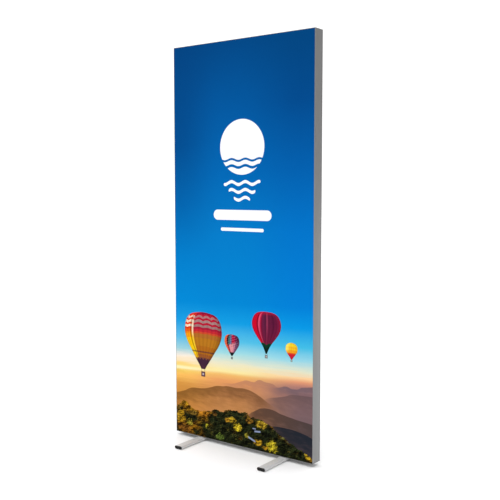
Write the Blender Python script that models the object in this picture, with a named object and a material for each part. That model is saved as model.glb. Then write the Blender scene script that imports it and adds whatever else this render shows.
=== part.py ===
"""A free-standing display frame with a printed fabric front, in metres, +Z up, its front facing -Y.

Four mitred aluminium rails make the frame. A groove near the front face holds the silicone strips
that are sewn to the edges of the fabric, and a T-slot on the inner side holds the corner brackets
and the crossbar. Two flat-oval feet lie under the bottom rail. Each one swivels on a bolt, which
passes up through the rail to a star knob. The origin is on the floor, under the frame's centre.
"""

from collections.abc import Callable, Sequence
from math import cos, pi, radians, sin, sqrt

import bmesh
import bpy
from mathutils import Vector
from mathutils.geometry import delaunay_2d_cdt

Point = tuple[float, float]
Outline = list[Point]
Placing = Callable[[float, float], tuple[float, float, float]]

# Gap between pieces that touch
GAP = 0.0003

# Frame
FRAME_WIDTH = 0.850
FRAME_HEIGHT = 2.000

# Rail section: depth runs from the front face back, and inset from the outer face inward
RAIL_DEPTH = 0.065
RAIL_INSET = 0.025
RAIL_SKIN = 0.002
GROOVE_WIDTH = 0.0034
GROOVE_DEPTH = 0.015
GROOVE_WALL = 0.0015
WEB = 0.0015
SLOT_FLOOR = 0.0015
SLOT_ROOM = 0.009
SLOT_LIP = 0.002
SLOT_OPENING = 0.012
TRIM_LINE_FROM_FACE = 0.010
TRIM_LINE_WIDTH = 0.0012
TRIM_LINE_DEPTH = 0.0007

# Fabric front and its edge strips
FABRIC_THICKNESS = 0.001
FABRIC_SETBACK = 0.0002

# Corner brackets and their grub screws
BRACKET_THICKNESS = 0.006
BRACKET_END_FROM_CORNER = 0.080
BRACKET_SCREWS_FROM_CORNER = {"near": 0.044, "far": 0.068}
GRUB_RADIUS = 0.003
GRUB_RECESS = 0.0003
GRUB_SOCKET_FLATS = 0.003
GRUB_SOCKET_DEPTH = 0.003

# Crossbar, half way up, and the anchors that hold its ends
CROSSBAR_DEPTH = 0.032
CROSSBAR_HEIGHT = 0.025
CROSSBAR_WALL = 0.0015
ANCHOR_REACH = 0.022
ANCHOR_SCREW_REACH = 0.012
NECK_HEIGHT = 0.016
TONGUE_LENGTH = 0.030
BUTTON_SCREW_RADIUS = 0.0025
BUTTON_SCREW_LENGTH = 0.010
BUTTON_HEAD_RADIUS = 0.00475
BUTTON_HEAD_HEIGHT = 0.0028
BUTTON_SOCKET_FLATS = 0.003
BUTTON_SOCKET_DEPTH = 0.0015

# Feet
FOOT_LENGTH = 0.420
FOOT_WIDTH = 0.045
FOOT_HEIGHT = 0.015
FOOT_FROM_SIDE = 0.170
FOOT_WALL = 0.0018
FOOT_WEB = 0.0015
CAP_THICKNESS = 0.003
CAP_EDGE = 0.0012
CAP_TONGUE = 0.014
PAD_RADIUS = 0.009
PAD_THICKNESS = 0.0015
PAD_FROM_END = 0.030

# Swivel bolt, disc, washer and knob
BOLT_RADIUS = 0.004
BOLT_HEAD_FLATS = 0.013
BOLT_HEAD_HEIGHT = 0.005
BOLT_POINT = 0.0007
BOLT_IN_KNOB = 0.0204
DISC_RADIUS = 0.014
DISC_THICKNESS = 0.001
WASHER_OVERLAP = 0.006
WASHER_THICKNESS = 0.0016
INSERT_WALL = 0.0022
INSERT_LENGTH = 0.0115
KNOB_BOSS_WALL = 0.0034
KNOB_BOSS_HEIGHT = 0.008
KNOB_HEIGHT = 0.022
KNOB_EDGE = 0.0035
KNOB_LOBES = 6
KNOB_ROOT_FROM_BOSS = 0.0035
KNOB_LOBE_HEIGHT = 0.0055

# Sides of round pieces, all multiples of 12 so that a hexagon's corners fall on them
SCREW_SIDES = 12
BOLT_SIDES = 24
KNOB_SIDES = 36
OVAL_STEPS = 8

# Delaunay triangulation of a flat end: keep what is inside the borders and outside the holes
INSIDE = 2
SAME_POINT = 1e-7

SHARP_ANGLE = radians(35)

# Heights above the floor, from the pads up
BAR_BOTTOM = PAD_THICKNESS + GAP
BAR_TOP = BAR_BOTTOM + FOOT_HEIGHT
DISC_BOTTOM = BAR_TOP + GAP
FRAME_BOTTOM = DISC_BOTTOM + DISC_THICKNESS + GAP
FRAME_TOP = FRAME_BOTTOM + FRAME_HEIGHT
FRAME_MIDDLE = FRAME_BOTTOM + FRAME_HEIGHT / 2
WASHER_BOTTOM = FRAME_BOTTOM + RAIL_INSET + GAP
KNOB_BOTTOM = WASHER_BOTTOM + WASHER_THICKNESS + GAP
BOLT_TOP = KNOB_BOTTOM + BOLT_IN_KNOB

# Insets from the frame's outer faces
SLOT_TOP = RAIL_INSET - SLOT_LIP
SLOT_BOTTOM = SLOT_TOP - SLOT_ROOM
BRACKET_INNER = SLOT_TOP - GAP
BRACKET_OUTER = BRACKET_INNER - BRACKET_THICKNESS
SLOT_WIDTH = RAIL_DEPTH - 2 * (GROOVE_DEPTH + WEB)
FABRIC_SEAT = FABRIC_SETBACK + FABRIC_THICKNESS + GAP

# Each side's own axes: X runs along it, Z points out of the frame, and these corners lie at -X and +X
SIDES = {
    "top": (FRAME_WIDTH, (0, FRAME_TOP), 0, ("top_left", "top_right")),
    "right": (FRAME_HEIGHT, (FRAME_WIDTH / 2, FRAME_MIDDLE), 90, ("top_right", "bottom_right")),
    "bottom": (FRAME_WIDTH, (0, FRAME_BOTTOM), 180, ("bottom_right", "bottom_left")),
    "left": (FRAME_HEIGHT, (-FRAME_WIDTH / 2, FRAME_MIDDLE), 270, ("bottom_left", "top_left")),
}
MEMBER = {"top": "rail", "bottom": "rail", "left": "upright", "right": "upright"}
CORNERS = {
    "top_right": (1, FRAME_TOP, 0),
    "bottom_right": (1, FRAME_BOTTOM, 90),
    "bottom_left": (-1, FRAME_BOTTOM, 180),
    "top_left": (-1, FRAME_TOP, 270),
}
HANDS = {"left": -1, "right": 1}

# Finishes: colour, roughness and metallic value
FINISHES = {
    "satin_anodised_rail": ((0.29, 0.29, 0.29), 0.38, 1.0),
    "pale_anodised_foot": ((0.55, 0.56, 0.54), 0.35, 1.0),
    "zinc_plated_bracket": ((0.42, 0.43, 0.44), 0.45, 1.0),
    "zinc_plated_steel": ((0.50, 0.50, 0.48), 0.30, 1.0),
    "turned_brass": ((0.62, 0.45, 0.20), 0.30, 1.0),
    "black_plastic": ((0.015, 0.015, 0.016), 0.45, 0.0),
    "grey_rubber": ((0.05, 0.05, 0.05), 0.80, 0.0),
    "clear_silicone": ((0.70, 0.70, 0.68), 0.50, 0.0),
    "printed_fabric": ((0.01, 0.15, 0.45), 0.85, 0.0),
    "cutter": ((1.0, 0.2, 0.2), 0.50, 0.0),
}


# Outlines


def circle(radius: float, sides: int) -> Outline:
    """Points of a circle, the first one on the first axis."""
    return [
        (radius * cos(2 * pi * i / sides), radius * sin(2 * pi * i / sides))
        for i in range(sides)
    ]


def hexagon(across_flats: float, sides: int) -> Outline:
    """A hexagon with a flat facing the first axis, given as many points as the circle it meets."""
    points = []
    for i in range(sides):
        angle = 2 * pi * i / sides
        off_flat = (angle + pi / 6) % (pi / 3) - pi / 6
        radius = across_flats / 2 / cos(off_flat)
        points.append((radius * cos(angle), radius * sin(angle)))
    return points


def star(root: float, lobe: float, lobes: int, sides: int) -> Outline:
    """A round outline that swells by lobe at each lobe."""
    points = []
    for i in range(sides):
        angle = 2 * pi * i / sides
        radius = root + lobe * (1 + cos(lobes * angle)) / 2
        points.append((radius * cos(angle), radius * sin(angle)))
    return points


def rectangle(width: float, height: float) -> Outline:
    x, y = width / 2, height / 2
    return [(-x, -y), (x, -y), (x, y), (-x, y)]


def flat_oval(width: float, height: float, steps: int) -> Outline:
    """Two half circles joined by flats, with steps along each half circle."""
    radius = height / 2
    middle = width / 2 - radius
    ends = []
    for side in (1, -1):
        for i in range(steps + 1):
            angle = -pi / 2 + pi * i / steps
            ends.append((side * (middle + radius * cos(angle)), side * radius * sin(angle)))
    return ends


def end_cell(inner_edge: float, width: float, height: float, side: int, steps: int) -> Outline:
    """The part of a flat oval past inner_edge, on one side."""
    radius = height / 2
    middle = width / 2 - radius
    arc = [
        (middle + radius * cos(angle), radius * sin(angle))
        for angle in (-pi / 2 + pi * i / steps for i in range(steps + 1))
    ]
    return [(side * x, z) for x, z in [(inner_edge, -radius), *arc, (inner_edge, radius)]]


# Meshes


def join_rings(mesh: bmesh.types.BMesh, first: Sequence, second: Sequence) -> None:
    """Faces between two rings of the same number of vertices."""
    for i in range(len(first)):
        j = (i + 1) % len(first)
        mesh.faces.new((first[i], first[j], second[j], second[i]))


def fill(mesh: bmesh.types.BMesh, ends: Sequence[tuple[Outline, Sequence]]) -> None:
    """A flat end inside the first outline and outside the rest, each given with its vertices."""
    points = [Vector(point) for outline, _ in ends for point in outline]
    corners = [vertex for _, loop in ends for vertex in loop]
    borders = []
    for outline, _ in ends:
        start = sum(len(border) for border in borders)
        borders.append(list(range(start, start + len(outline))))
    _, _, triangles, sources, _, _ = delaunay_2d_cdt(points, [], borders, INSIDE, SAME_POINT)
    for triangle in triangles:
        mesh.faces.new([corners[sources[i][0]] for i in triangle])


def swept(outlines: Sequence[Outline], near: Placing, far: Placing) -> bmesh.types.BMesh:
    """The first outline, less the others as hollows, run between two placings of its points."""
    mesh = bmesh.new()
    starts = [[mesh.verts.new(near(*point)) for point in outline] for outline in outlines]
    ends = [[mesh.verts.new(far(*point)) for point in outline] for outline in outlines]
    for start, end in zip(starts, ends, strict=True):
        join_rings(mesh, start, end)
    fill(mesh, list(zip(outlines, starts, strict=True)))
    fill(mesh, list(zip(outlines, ends, strict=True)))
    bmesh.ops.recalc_face_normals(mesh, faces=mesh.faces)
    return mesh


def lofted(rings: Sequence[tuple[Outline, float]]) -> bmesh.types.BMesh:
    """Outlines with the same number of points, each at its own height, joined in turn and closed."""
    mesh = bmesh.new()
    loops = [[mesh.verts.new((x, y, z)) for x, y in outline] for outline, z in rings]
    for first, second in zip(loops, loops[1:]):
        join_rings(mesh, first, second)
    for end in (0, -1):
        fill(mesh, [(rings[end][0], loops[end])])
    bmesh.ops.recalc_face_normals(mesh, faces=mesh.faces)
    return mesh


def plug(face: Outline, tongues: Sequence[Outline]) -> bmesh.types.BMesh:
    """An end cap in the X-Z plane: a face plate toward -Y, chamfered, and tongues toward +Y."""
    mesh = bmesh.new()

    def ring(outline: Outline, y: float) -> list:
        return [mesh.verts.new((x, y, z)) for x, z in outline]

    width = max(x for x, _ in face) * 2
    height = max(z for _, z in face) * 2
    small = [
        (x * (width - 2 * CAP_EDGE) / width, z * (height - 2 * CAP_EDGE) / height) for x, z in face
    ]
    back = ring(face, 0)
    rim = ring(face, CAP_EDGE - CAP_THICKNESS)
    front = ring(small, -CAP_THICKNESS)
    roots = [ring(tongue, 0) for tongue in tongues]
    tips = [ring(tongue, CAP_TONGUE) for tongue in tongues]
    join_rings(mesh, back, rim)
    join_rings(mesh, rim, front)
    fill(mesh, [(small, front)])
    fill(mesh, [(face, back), *zip(tongues, roots, strict=True)])
    for tongue, root, tip in zip(tongues, roots, tips, strict=True):
        join_rings(mesh, root, tip)
        fill(mesh, [(tongue, tip)])
    bmesh.ops.recalc_face_normals(mesh, faces=mesh.faces)
    return mesh


# Objects


def clear_scene() -> None:
    for old in list(bpy.data.objects):
        bpy.data.objects.remove(old, do_unlink=True)


def finish(name: str) -> bpy.types.Material:
    """The finish of that name, made the first time that a piece asks for it."""
    made = bpy.data.materials.get(name)
    if made is None:
        colour, roughness, metallic = FINISHES[name]
        made = bpy.data.materials.new(name)
        made.use_nodes = True
        surface = made.node_tree.nodes["Principled BSDF"]
        surface.inputs["Base Color"].default_value = (*colour, 1)
        surface.inputs["Roughness"].default_value = roughness
        surface.inputs["Metallic"].default_value = metallic
    return made


def pivot(name: str, location: tuple[float, float, float], turn_y: float = 0) -> bpy.types.Object:
    """An empty that carries the pieces of one side, or of one moving body on its axis."""
    empty = bpy.data.objects.new(name, None)
    empty.location = location
    empty.rotation_euler.y = radians(turn_y)
    bpy.context.scene.collection.objects.link(empty)
    return empty


def mesh_of(name: str, shape: bmesh.types.BMesh, finish_name: str) -> bpy.types.Mesh:
    """A mesh with its finish, smooth but for its sharp edges."""
    data = bpy.data.meshes.new(name)
    shape.to_mesh(data)
    shape.free()
    data.materials.append(finish(finish_name))
    data.shade_smooth()
    data.set_sharp_from_angle(angle=SHARP_ANGLE)
    return data


def place(
    name: str,
    data: bpy.types.Mesh,
    parent: bpy.types.Object | None = None,
    location: tuple[float, float, float] = (0, 0, 0),
    turn: tuple[float, float, float] = (0, 0, 0),
) -> bpy.types.Object:
    """A named piece with that mesh, which other pieces may share."""
    made = bpy.data.objects.new(name, data)
    made.parent = parent
    made.location = location
    made.rotation_euler = [radians(angle) for angle in turn]
    bpy.context.scene.collection.objects.link(made)
    return made


def piece(
    name: str,
    shape: bmesh.types.BMesh,
    finish_name: str,
    parent: bpy.types.Object | None = None,
    location: tuple[float, float, float] = (0, 0, 0),
    turn: tuple[float, float, float] = (0, 0, 0),
) -> bpy.types.Object:
    """A named piece with a mesh of its own."""
    return place(name, mesh_of(name, shape, finish_name), parent, location, turn)


def drill(
    target: bpy.types.Object,
    radius: float,
    sides: int,
    start: float,
    end: float,
    parent: bpy.types.Object | None = None,
    location: tuple[float, float, float] = (0, 0, 0),
    turn: tuple[float, float, float] = (0, 0, 0),
) -> None:
    """A round hole along the placing's Z, from start to end."""
    outline = circle(radius, sides)
    shape = lofted([(outline, start), (outline, end)])
    cutter = piece(f"{target.name}_drill", shape, "cutter", parent, location, turn)
    cutter.hide_render = True
    cutter.display_type = "WIRE"
    cut = target.modifiers.new("Hole", "BOOLEAN")
    cut.operation = "DIFFERENCE"
    cut.object = cutter


# Frame


def rail_outlines() -> list[Outline]:
    """The rail's section and its closed hollow, as depth and inset."""
    wall = RAIL_SKIN + GROOVE_WIDTH
    web = GROOVE_DEPTH + WEB
    lip = (RAIL_DEPTH - SLOT_OPENING) / 2
    front_half = [
        (TRIM_LINE_FROM_FACE + TRIM_LINE_WIDTH / 2, 0),
        (TRIM_LINE_FROM_FACE, TRIM_LINE_DEPTH),
        (TRIM_LINE_FROM_FACE - TRIM_LINE_WIDTH / 2, 0),
        (0, 0),
        (0, RAIL_SKIN),
        (GROOVE_DEPTH, RAIL_SKIN),
        (GROOVE_DEPTH, wall),
        (FABRIC_SEAT, wall),
        (FABRIC_SEAT, wall + GROOVE_WALL),
        (GROOVE_DEPTH, wall + GROOVE_WALL),
        (GROOVE_DEPTH, RAIL_INSET),
        (lip, RAIL_INSET),
        (lip, SLOT_TOP),
        (web, SLOT_TOP),
        (web, SLOT_BOTTOM),
    ]
    back_half = [(RAIL_DEPTH - depth, inset) for depth, inset in reversed(front_half)]
    hollow_top = SLOT_BOTTOM - SLOT_FLOOR
    hollow = [
        (web, RAIL_SKIN),
        (RAIL_DEPTH - web, RAIL_SKIN),
        (RAIL_DEPTH - web, hollow_top),
        (web, hollow_top),
    ]
    return [front_half + back_half, hollow]


def mitred(outlines: Sequence[Outline], length: float) -> bmesh.types.BMesh:
    """A length of a section along X, its ends cut at 45 degrees with half the gap at each."""

    def end(side: int) -> Placing:
        return lambda depth, inset: (
            side * (length / 2 - inset - GAP / sqrt(2)),
            depth - RAIL_DEPTH / 2,
            -inset,
        )

    return swept(outlines, end(-1), end(1))


def grub_screw() -> bmesh.types.BMesh:
    """A grub screw along +Z, its hexagon socket at the origin."""
    body = circle(GRUB_RADIUS, SCREW_SIDES)
    socket = hexagon(GRUB_SOCKET_FLATS, SCREW_SIDES)
    length = BRACKET_INNER - GRUB_RECESS - SLOT_BOTTOM - GAP
    return lofted([(socket, GRUB_SOCKET_DEPTH), (socket, 0), (body, 0), (body, length)])


def add_side(name: str, grub: bpy.types.Mesh) -> bpy.types.Object:
    """One rail or upright, the strip in its groove and the grub screws over it."""
    length, (x, z), turn, corners = SIDES[name]
    side = pivot(f"{name}_side", (x, 0, z), turn)
    rail_name = f"{name}_{MEMBER[name]}"
    piece(rail_name, mitred(rail_outlines(), length), "satin_anodised_rail", side)
    strip = [
        (FABRIC_SEAT, RAIL_SKIN + GAP),
        (GROOVE_DEPTH - GAP, RAIL_SKIN + GAP),
        (GROOVE_DEPTH - GAP, RAIL_SKIN + GROOVE_WIDTH - GAP),
        (FABRIC_SEAT, RAIL_SKIN + GROOVE_WIDTH - GAP),
    ]
    piece(f"edge_strip_{name}", mitred([strip], length), "clear_silicone", side)
    for corner, sign in zip(corners, (-1, 1), strict=True):
        for spot, distance in BRACKET_SCREWS_FROM_CORNER.items():
            seat = (sign * (length / 2 - distance), 0, GRUB_RECESS - BRACKET_INNER)
            place(f"{corner}_{MEMBER[name]}_screw_{spot}", grub, side, seat)
    return side


def add_corner_bracket(corner: str) -> None:
    """An L of plate in the T-slots of two members, drilled for its grub screws."""
    hand, z, turn = CORNERS[corner]
    near, far, end = BRACKET_OUTER, BRACKET_INNER, BRACKET_END_FROM_CORNER
    outline = [(near, near), (end, near), (end, far), (far, far), (far, end), (near, end)]
    half = SLOT_WIDTH / 2 - GAP
    holder = pivot(f"{corner}_corner", (hand * FRAME_WIDTH / 2, 0, z), turn)
    bracket = piece(
        f"{corner}_bracket",
        swept([outline], lambda a, b: (-a, -half, -b), lambda a, b: (-a, half, -b)),
        "zinc_plated_bracket",
        holder,
    )
    for distance in BRACKET_SCREWS_FROM_CORNER.values():
        for spot, tilt in (((-distance, 0, 0), 0), ((0, 0, -distance), 90)):
            drill(
                bracket,
                GRUB_RADIUS + GAP,
                SCREW_SIDES,
                -2 * RAIL_INSET,
                RAIL_INSET,
                holder,
                spot,
                (0, tilt, 0),
            )


def add_graphic() -> None:
    """The fabric front, flush with the lips of the rails."""
    edge = 2 * (RAIL_SKIN + GAP)
    outline = rectangle(FRAME_WIDTH - edge, FRAME_HEIGHT - edge)
    front = FABRIC_SETBACK - RAIL_DEPTH / 2
    back = front + FABRIC_THICKNESS
    piece(
        "front_graphic",
        swept([outline], lambda x, z: (x, front, z), lambda x, z: (x, back, z)),
        "printed_fabric",
        location=(0, 0, FRAME_MIDDLE),
    )


# Crossbar


def anchor() -> bmesh.types.BMesh:
    """A plate for an upright's T-slot, a neck through the slot and a tongue for the crossbar."""
    plate = rectangle(CROSSBAR_HEIGHT + 2 * ANCHOR_REACH, SLOT_WIDTH - 2 * GAP)
    inside = 2 * (CROSSBAR_WALL + GAP)
    tongue = rectangle(CROSSBAR_HEIGHT - inside, CROSSBAR_DEPTH - inside)
    neck = rectangle(NECK_HEIGHT, SLOT_OPENING - 2 * GAP)
    bar_end = RAIL_INSET + GAP
    return lofted(
        [
            (plate, -BRACKET_OUTER),
            (plate, -BRACKET_INNER),
            (neck, -BRACKET_INNER),
            (neck, -bar_end),
            (tongue, -bar_end),
            (tongue, -bar_end - TONGUE_LENGTH),
        ]
    )


def button_screw() -> bmesh.types.BMesh:
    """A button-head screw along -Z, the underside of its head at the origin."""
    shank = circle(BUTTON_SCREW_RADIUS, SCREW_SIDES)
    head = circle(BUTTON_HEAD_RADIUS, SCREW_SIDES)
    crown = circle(BUTTON_HEAD_RADIUS * 0.6, SCREW_SIDES)
    socket = hexagon(BUTTON_SOCKET_FLATS, SCREW_SIDES)
    return lofted(
        [
            (shank, -BUTTON_SCREW_LENGTH),
            (shank, 0),
            (head, 0),
            (head, BUTTON_HEAD_HEIGHT * 0.4),
            (crown, BUTTON_HEAD_HEIGHT),
            (socket, BUTTON_HEAD_HEIGHT),
            (socket, BUTTON_HEAD_HEIGHT - BUTTON_SOCKET_DEPTH),
        ]
    )


def add_crossbar(sides: dict[str, bpy.types.Object], grub: bpy.types.Mesh) -> None:
    """A tube between the uprights, with an anchor and three screws at each end."""
    half = FRAME_WIDTH / 2 - RAIL_INSET - GAP
    inside = 2 * CROSSBAR_WALL
    tube = [
        rectangle(CROSSBAR_DEPTH, CROSSBAR_HEIGHT),
        rectangle(CROSSBAR_DEPTH - inside, CROSSBAR_HEIGHT - inside),
    ]
    crossbar = piece(
        "crossbar",
        swept(tube, lambda y, z: (-half, y, z), lambda y, z: (half, y, z)),
        "satin_anodised_rail",
        location=(0, 0, FRAME_MIDDLE),
    )
    back = CROSSBAR_DEPTH / 2
    screw_inset = RAIL_INSET + GAP + TONGUE_LENGTH / 2
    grub_along = CROSSBAR_HEIGHT / 2 + ANCHOR_SCREW_REACH
    for hand, sign in HANDS.items():
        side = sides[hand]
        anchor_piece = piece(f"crossbar_anchor_{hand}", anchor(), "zinc_plated_bracket", side)
        for spot, up in (("upper", 1), ("lower", -1)):
            along = -sign * up * grub_along
            hole = GRUB_RADIUS + GAP
            drill(anchor_piece, hole, SCREW_SIDES, -RAIL_INSET, 0, side, (along, 0, 0))
            seat = (along, 0, GRUB_RECESS - BRACKET_INNER)
            place(f"anchor_screw_{hand}_{spot}", grub, side, seat)
        for drilled in (crossbar, anchor_piece):
            drill(
                drilled,
                BUTTON_SCREW_RADIUS + GAP,
                SCREW_SIDES,
                -BUTTON_SCREW_LENGTH - GAP,
                BUTTON_SCREW_LENGTH,
                location=(sign * (FRAME_WIDTH / 2 - screw_inset), back, FRAME_MIDDLE),
                turn=(-90, 0, 0),
            )
        piece(
            f"crossbar_screw_{hand}",
            button_screw(),
            "zinc_plated_steel",
            location=(sign * (FRAME_WIDTH / 2 - screw_inset), back + GAP, FRAME_MIDDLE),
            turn=(-90, 0, 0),
        )


# Feet


def foot_cells(clearance: float) -> list[Outline]:
    """The foot's three hollows, or the tongues that fill them with this clearance."""
    width = FOOT_WIDTH - 2 * (FOOT_WALL + clearance)
    height = FOOT_HEIGHT - 2 * (FOOT_WALL + clearance)
    middle = BOLT_HEAD_FLATS / 2 + GAP
    outer = middle + FOOT_WEB + clearance
    return [
        rectangle(2 * (middle - clearance), height),
        end_cell(outer, width, height, 1, OVAL_STEPS),
        end_cell(outer, width, height, -1, OVAL_STEPS),
    ]


def foot_bolt() -> bmesh.types.BMesh:
    """The swivel bolt, its head held from turning between the foot's webs."""
    under_wall = BAR_TOP - FOOT_WALL - GAP
    head = hexagon(BOLT_HEAD_FLATS, BOLT_SIDES)
    shank = circle(BOLT_RADIUS, BOLT_SIDES)
    tip = circle(BOLT_RADIUS - BOLT_POINT, BOLT_SIDES)
    return lofted(
        [
            (head, under_wall - BOLT_HEAD_HEIGHT),
            (head, under_wall),
            (shank, under_wall),
            (shank, BOLT_TOP - BOLT_POINT),
            (tip, BOLT_TOP),
        ]
    )


def ring_plate(inner: float, outer: float, bottom: float, thickness: float) -> bmesh.types.BMesh:
    """A washer, or any ring with flat ends."""
    outlines = [circle(outer, BOLT_SIDES), circle(inner, BOLT_SIDES)]
    top = bottom + thickness
    return swept(outlines, lambda x, y: (x, y, bottom), lambda x, y: (x, y, top))


def add_foot(hand: str) -> None:
    """A foot and everything that swivels with it."""
    x = HANDS[hand] * (FRAME_WIDTH / 2 - FOOT_FROM_SIDE)
    foot = pivot(f"foot_{hand}_swivel", (x, 0, 0))
    half = FOOT_LENGTH / 2 - CAP_THICKNESS - GAP
    middle = BAR_BOTTOM + FOOT_HEIGHT / 2
    oval = flat_oval(FOOT_WIDTH, FOOT_HEIGHT, OVAL_STEPS)
    bar = piece(
        f"foot_bar_{hand}",
        swept(
            [oval, *foot_cells(0)],
            lambda x, z: (x, -half, z + middle),
            lambda x, z: (x, half, z + middle),
        ),
        "pale_anodised_foot",
        foot,
    )
    drill(bar, BOLT_RADIUS + GAP, BOLT_SIDES, middle, BAR_TOP + FOOT_WALL, foot)
    for end, toward in (("front", -1), ("rear", 1)):
        cap_place = (0, toward * (half + GAP), middle)
        cap_turn = (0, 0, 0 if toward < 0 else 180)
        cap = plug(oval, foot_cells(GAP))
        piece(f"foot_cap_{end}_{hand}", cap, "black_plastic", foot, cap_place, cap_turn)
        pad_outline = circle(PAD_RADIUS, BOLT_SIDES)
        pad = lofted([(pad_outline, 0), (pad_outline, PAD_THICKNESS)])
        pad_place = (0, toward * (FOOT_LENGTH / 2 - PAD_FROM_END), 0)
        piece(f"foot_pad_{end}_{hand}", pad, "grey_rubber", foot, pad_place)
    piece(f"foot_bolt_{hand}", foot_bolt(), "zinc_plated_steel", foot)
    disc = ring_plate(BOLT_RADIUS + GAP, DISC_RADIUS, DISC_BOTTOM, DISC_THICKNESS)
    piece(f"swivel_disc_{hand}", disc, "black_plastic", foot)


# Knobs


def knob() -> bmesh.types.BMesh:
    """A star knob with a boss below, bored for the bolt and counterbored for its insert."""
    insert = BOLT_RADIUS + GAP + INSERT_WALL
    boss = insert + GAP + KNOB_BOSS_WALL
    root = boss + KNOB_ROOT_FROM_BOSS
    pocket_end = KNOB_BOTTOM + INSERT_LENGTH + GAP
    bore = circle(BOLT_RADIUS + GAP, KNOB_SIDES)
    pocket = circle(insert + GAP, KNOB_SIDES)
    boss_ring = circle(boss, KNOB_SIDES)
    edge = star(root, KNOB_LOBE_HEIGHT, KNOB_LOBES, KNOB_SIDES)
    crown = star(root - KNOB_EDGE, KNOB_LOBE_HEIGHT, KNOB_LOBES, KNOB_SIDES)
    top = KNOB_BOTTOM + KNOB_HEIGHT
    return lofted(
        [
            (bore, BOLT_TOP + BOLT_POINT),
            (bore, pocket_end),
            (pocket, pocket_end),
            (pocket, KNOB_BOTTOM),
            (boss_ring, KNOB_BOTTOM),
            (boss_ring, KNOB_BOTTOM + KNOB_BOSS_HEIGHT),
            (edge, KNOB_BOTTOM + KNOB_BOSS_HEIGHT),
            (edge, top - KNOB_EDGE),
            (crown, top),
        ]
    )


def add_knob(hand: str, bottom_rail: bpy.types.Object) -> None:
    """A knob on its washer, over the hole in the bottom rail that its bolt comes through."""
    x = HANDS[hand] * (FRAME_WIDTH / 2 - FOOT_FROM_SIDE)
    turning = pivot(f"knob_{hand}_axis", (x, 0, 0))
    hole = BOLT_RADIUS + GAP
    hole_end = FRAME_BOTTOM + (SLOT_BOTTOM + SLOT_TOP) / 2
    drill(bottom_rail, hole, BOLT_SIDES, BAR_TOP, hole_end, turning)
    washer_outer = SLOT_OPENING / 2 + WASHER_OVERLAP
    washer = ring_plate(hole, washer_outer, WASHER_BOTTOM, WASHER_THICKNESS)
    piece(f"knob_washer_{hand}", washer, "zinc_plated_steel", turning)
    piece(f"clamp_knob_{hand}", knob(), "black_plastic", turning)
    insert = ring_plate(hole, hole + INSERT_WALL, KNOB_BOTTOM, INSERT_LENGTH)
    piece(f"knob_insert_{hand}", insert, "turned_brass", turning)


def main() -> None:
    clear_scene()
    grub = mesh_of("grub_screw", grub_screw(), "zinc_plated_steel")
    sides = {name: add_side(name, grub) for name in SIDES}
    for corner in CORNERS:
        add_corner_bracket(corner)
    add_graphic()
    add_crossbar(sides, grub)
    for hand in HANDS:
        add_foot(hand)
        add_knob(hand, bpy.data.objects["bottom_rail"])


main()
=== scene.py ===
"""Finished pieces of a free-standing fabric display frame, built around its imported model.

Everything is in metres in the model's own frame: +Z up, the print facing -Y and the floor at
Z 0. Each sub-assembly is a class that builds its own meshes and dresses them in its finishes.
"""

import logging
from collections.abc import Callable, Sequence
from dataclasses import dataclass, field
from enum import Enum
from math import cos, pi, radians, sin, sqrt

import bmesh
import bpy
from mathutils import Matrix, Vector


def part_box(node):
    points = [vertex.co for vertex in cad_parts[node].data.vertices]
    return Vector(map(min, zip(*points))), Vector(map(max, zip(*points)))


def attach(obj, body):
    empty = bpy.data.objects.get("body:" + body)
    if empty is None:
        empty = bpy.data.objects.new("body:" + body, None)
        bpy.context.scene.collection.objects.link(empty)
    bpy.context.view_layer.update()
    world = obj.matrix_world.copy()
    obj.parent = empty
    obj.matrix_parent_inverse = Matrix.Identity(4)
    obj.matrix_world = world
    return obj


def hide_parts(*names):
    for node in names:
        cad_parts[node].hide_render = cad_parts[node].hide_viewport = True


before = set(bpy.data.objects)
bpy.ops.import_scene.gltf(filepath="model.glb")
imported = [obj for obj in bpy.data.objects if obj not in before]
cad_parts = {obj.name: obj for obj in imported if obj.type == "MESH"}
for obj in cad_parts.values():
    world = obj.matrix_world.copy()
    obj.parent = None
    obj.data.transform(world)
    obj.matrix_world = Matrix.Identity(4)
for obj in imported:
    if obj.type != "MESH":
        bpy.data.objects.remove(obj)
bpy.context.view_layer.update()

MM = 0.001
GAP = 0.3 * MM
TINY = 0.001 * MM
MERGE = 0.01 * MM
SMOOTH_UNDER = radians(34)
FLAT_UNDER = radians(1)
SHARP_OVER = radians(30)
FULL_ROUND_SHORT = 0.05 * MM
PRINT_WIDTH = 850
WAVES_TO_A_TURN = 20
RAIL_TONE = 0.225
FOOT_TONE = 0.67
LOG = logging.getLogger("display_frame")

Rgb = tuple[float, float, float]
Stop = tuple[float, Rgb]
Point = tuple[float, float]
Spatial = tuple[float, float, float]


class Body(Enum):
    """The moving bodies of the model."""

    FRAME = "frame"
    FOOT_LEFT = "foot_left"
    FOOT_RIGHT = "foot_right"
    WASHER_LEFT = "washer_left"
    WASHER_RIGHT = "washer_right"
    KNOB_LEFT = "knob_left"
    KNOB_RIGHT = "knob_right"


class Hand(Enum):
    """Left or right, seen from the front, with the sign of its X."""

    LEFT = -1
    RIGHT = 1

    @property
    def word(self) -> str:
        """The word used in the names of pieces."""
        return self.name.lower()


class Side(Enum):
    """One side of the frame, with its turn about Y in degrees from the top side."""

    TOP = 0
    RIGHT = 90
    BOTTOM = 180
    LEFT = 270

    @property
    def word(self) -> str:
        """The word used in the names of pieces."""
        return self.name.lower()

    @property
    def upright(self) -> bool:
        """Whether this side stands rather than lies."""
        return self in (Side.LEFT, Side.RIGHT)

    @property
    def node(self) -> str:
        """The name of the side's rail or upright."""
        return f"{self.word}_{'upright' if self.upright else 'rail'}"

    @property
    def turning(self) -> Matrix:
        """The turn from the top side's axes to this side's."""
        return Matrix.Rotation(radians(self.value), 4, "Y")


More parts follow.
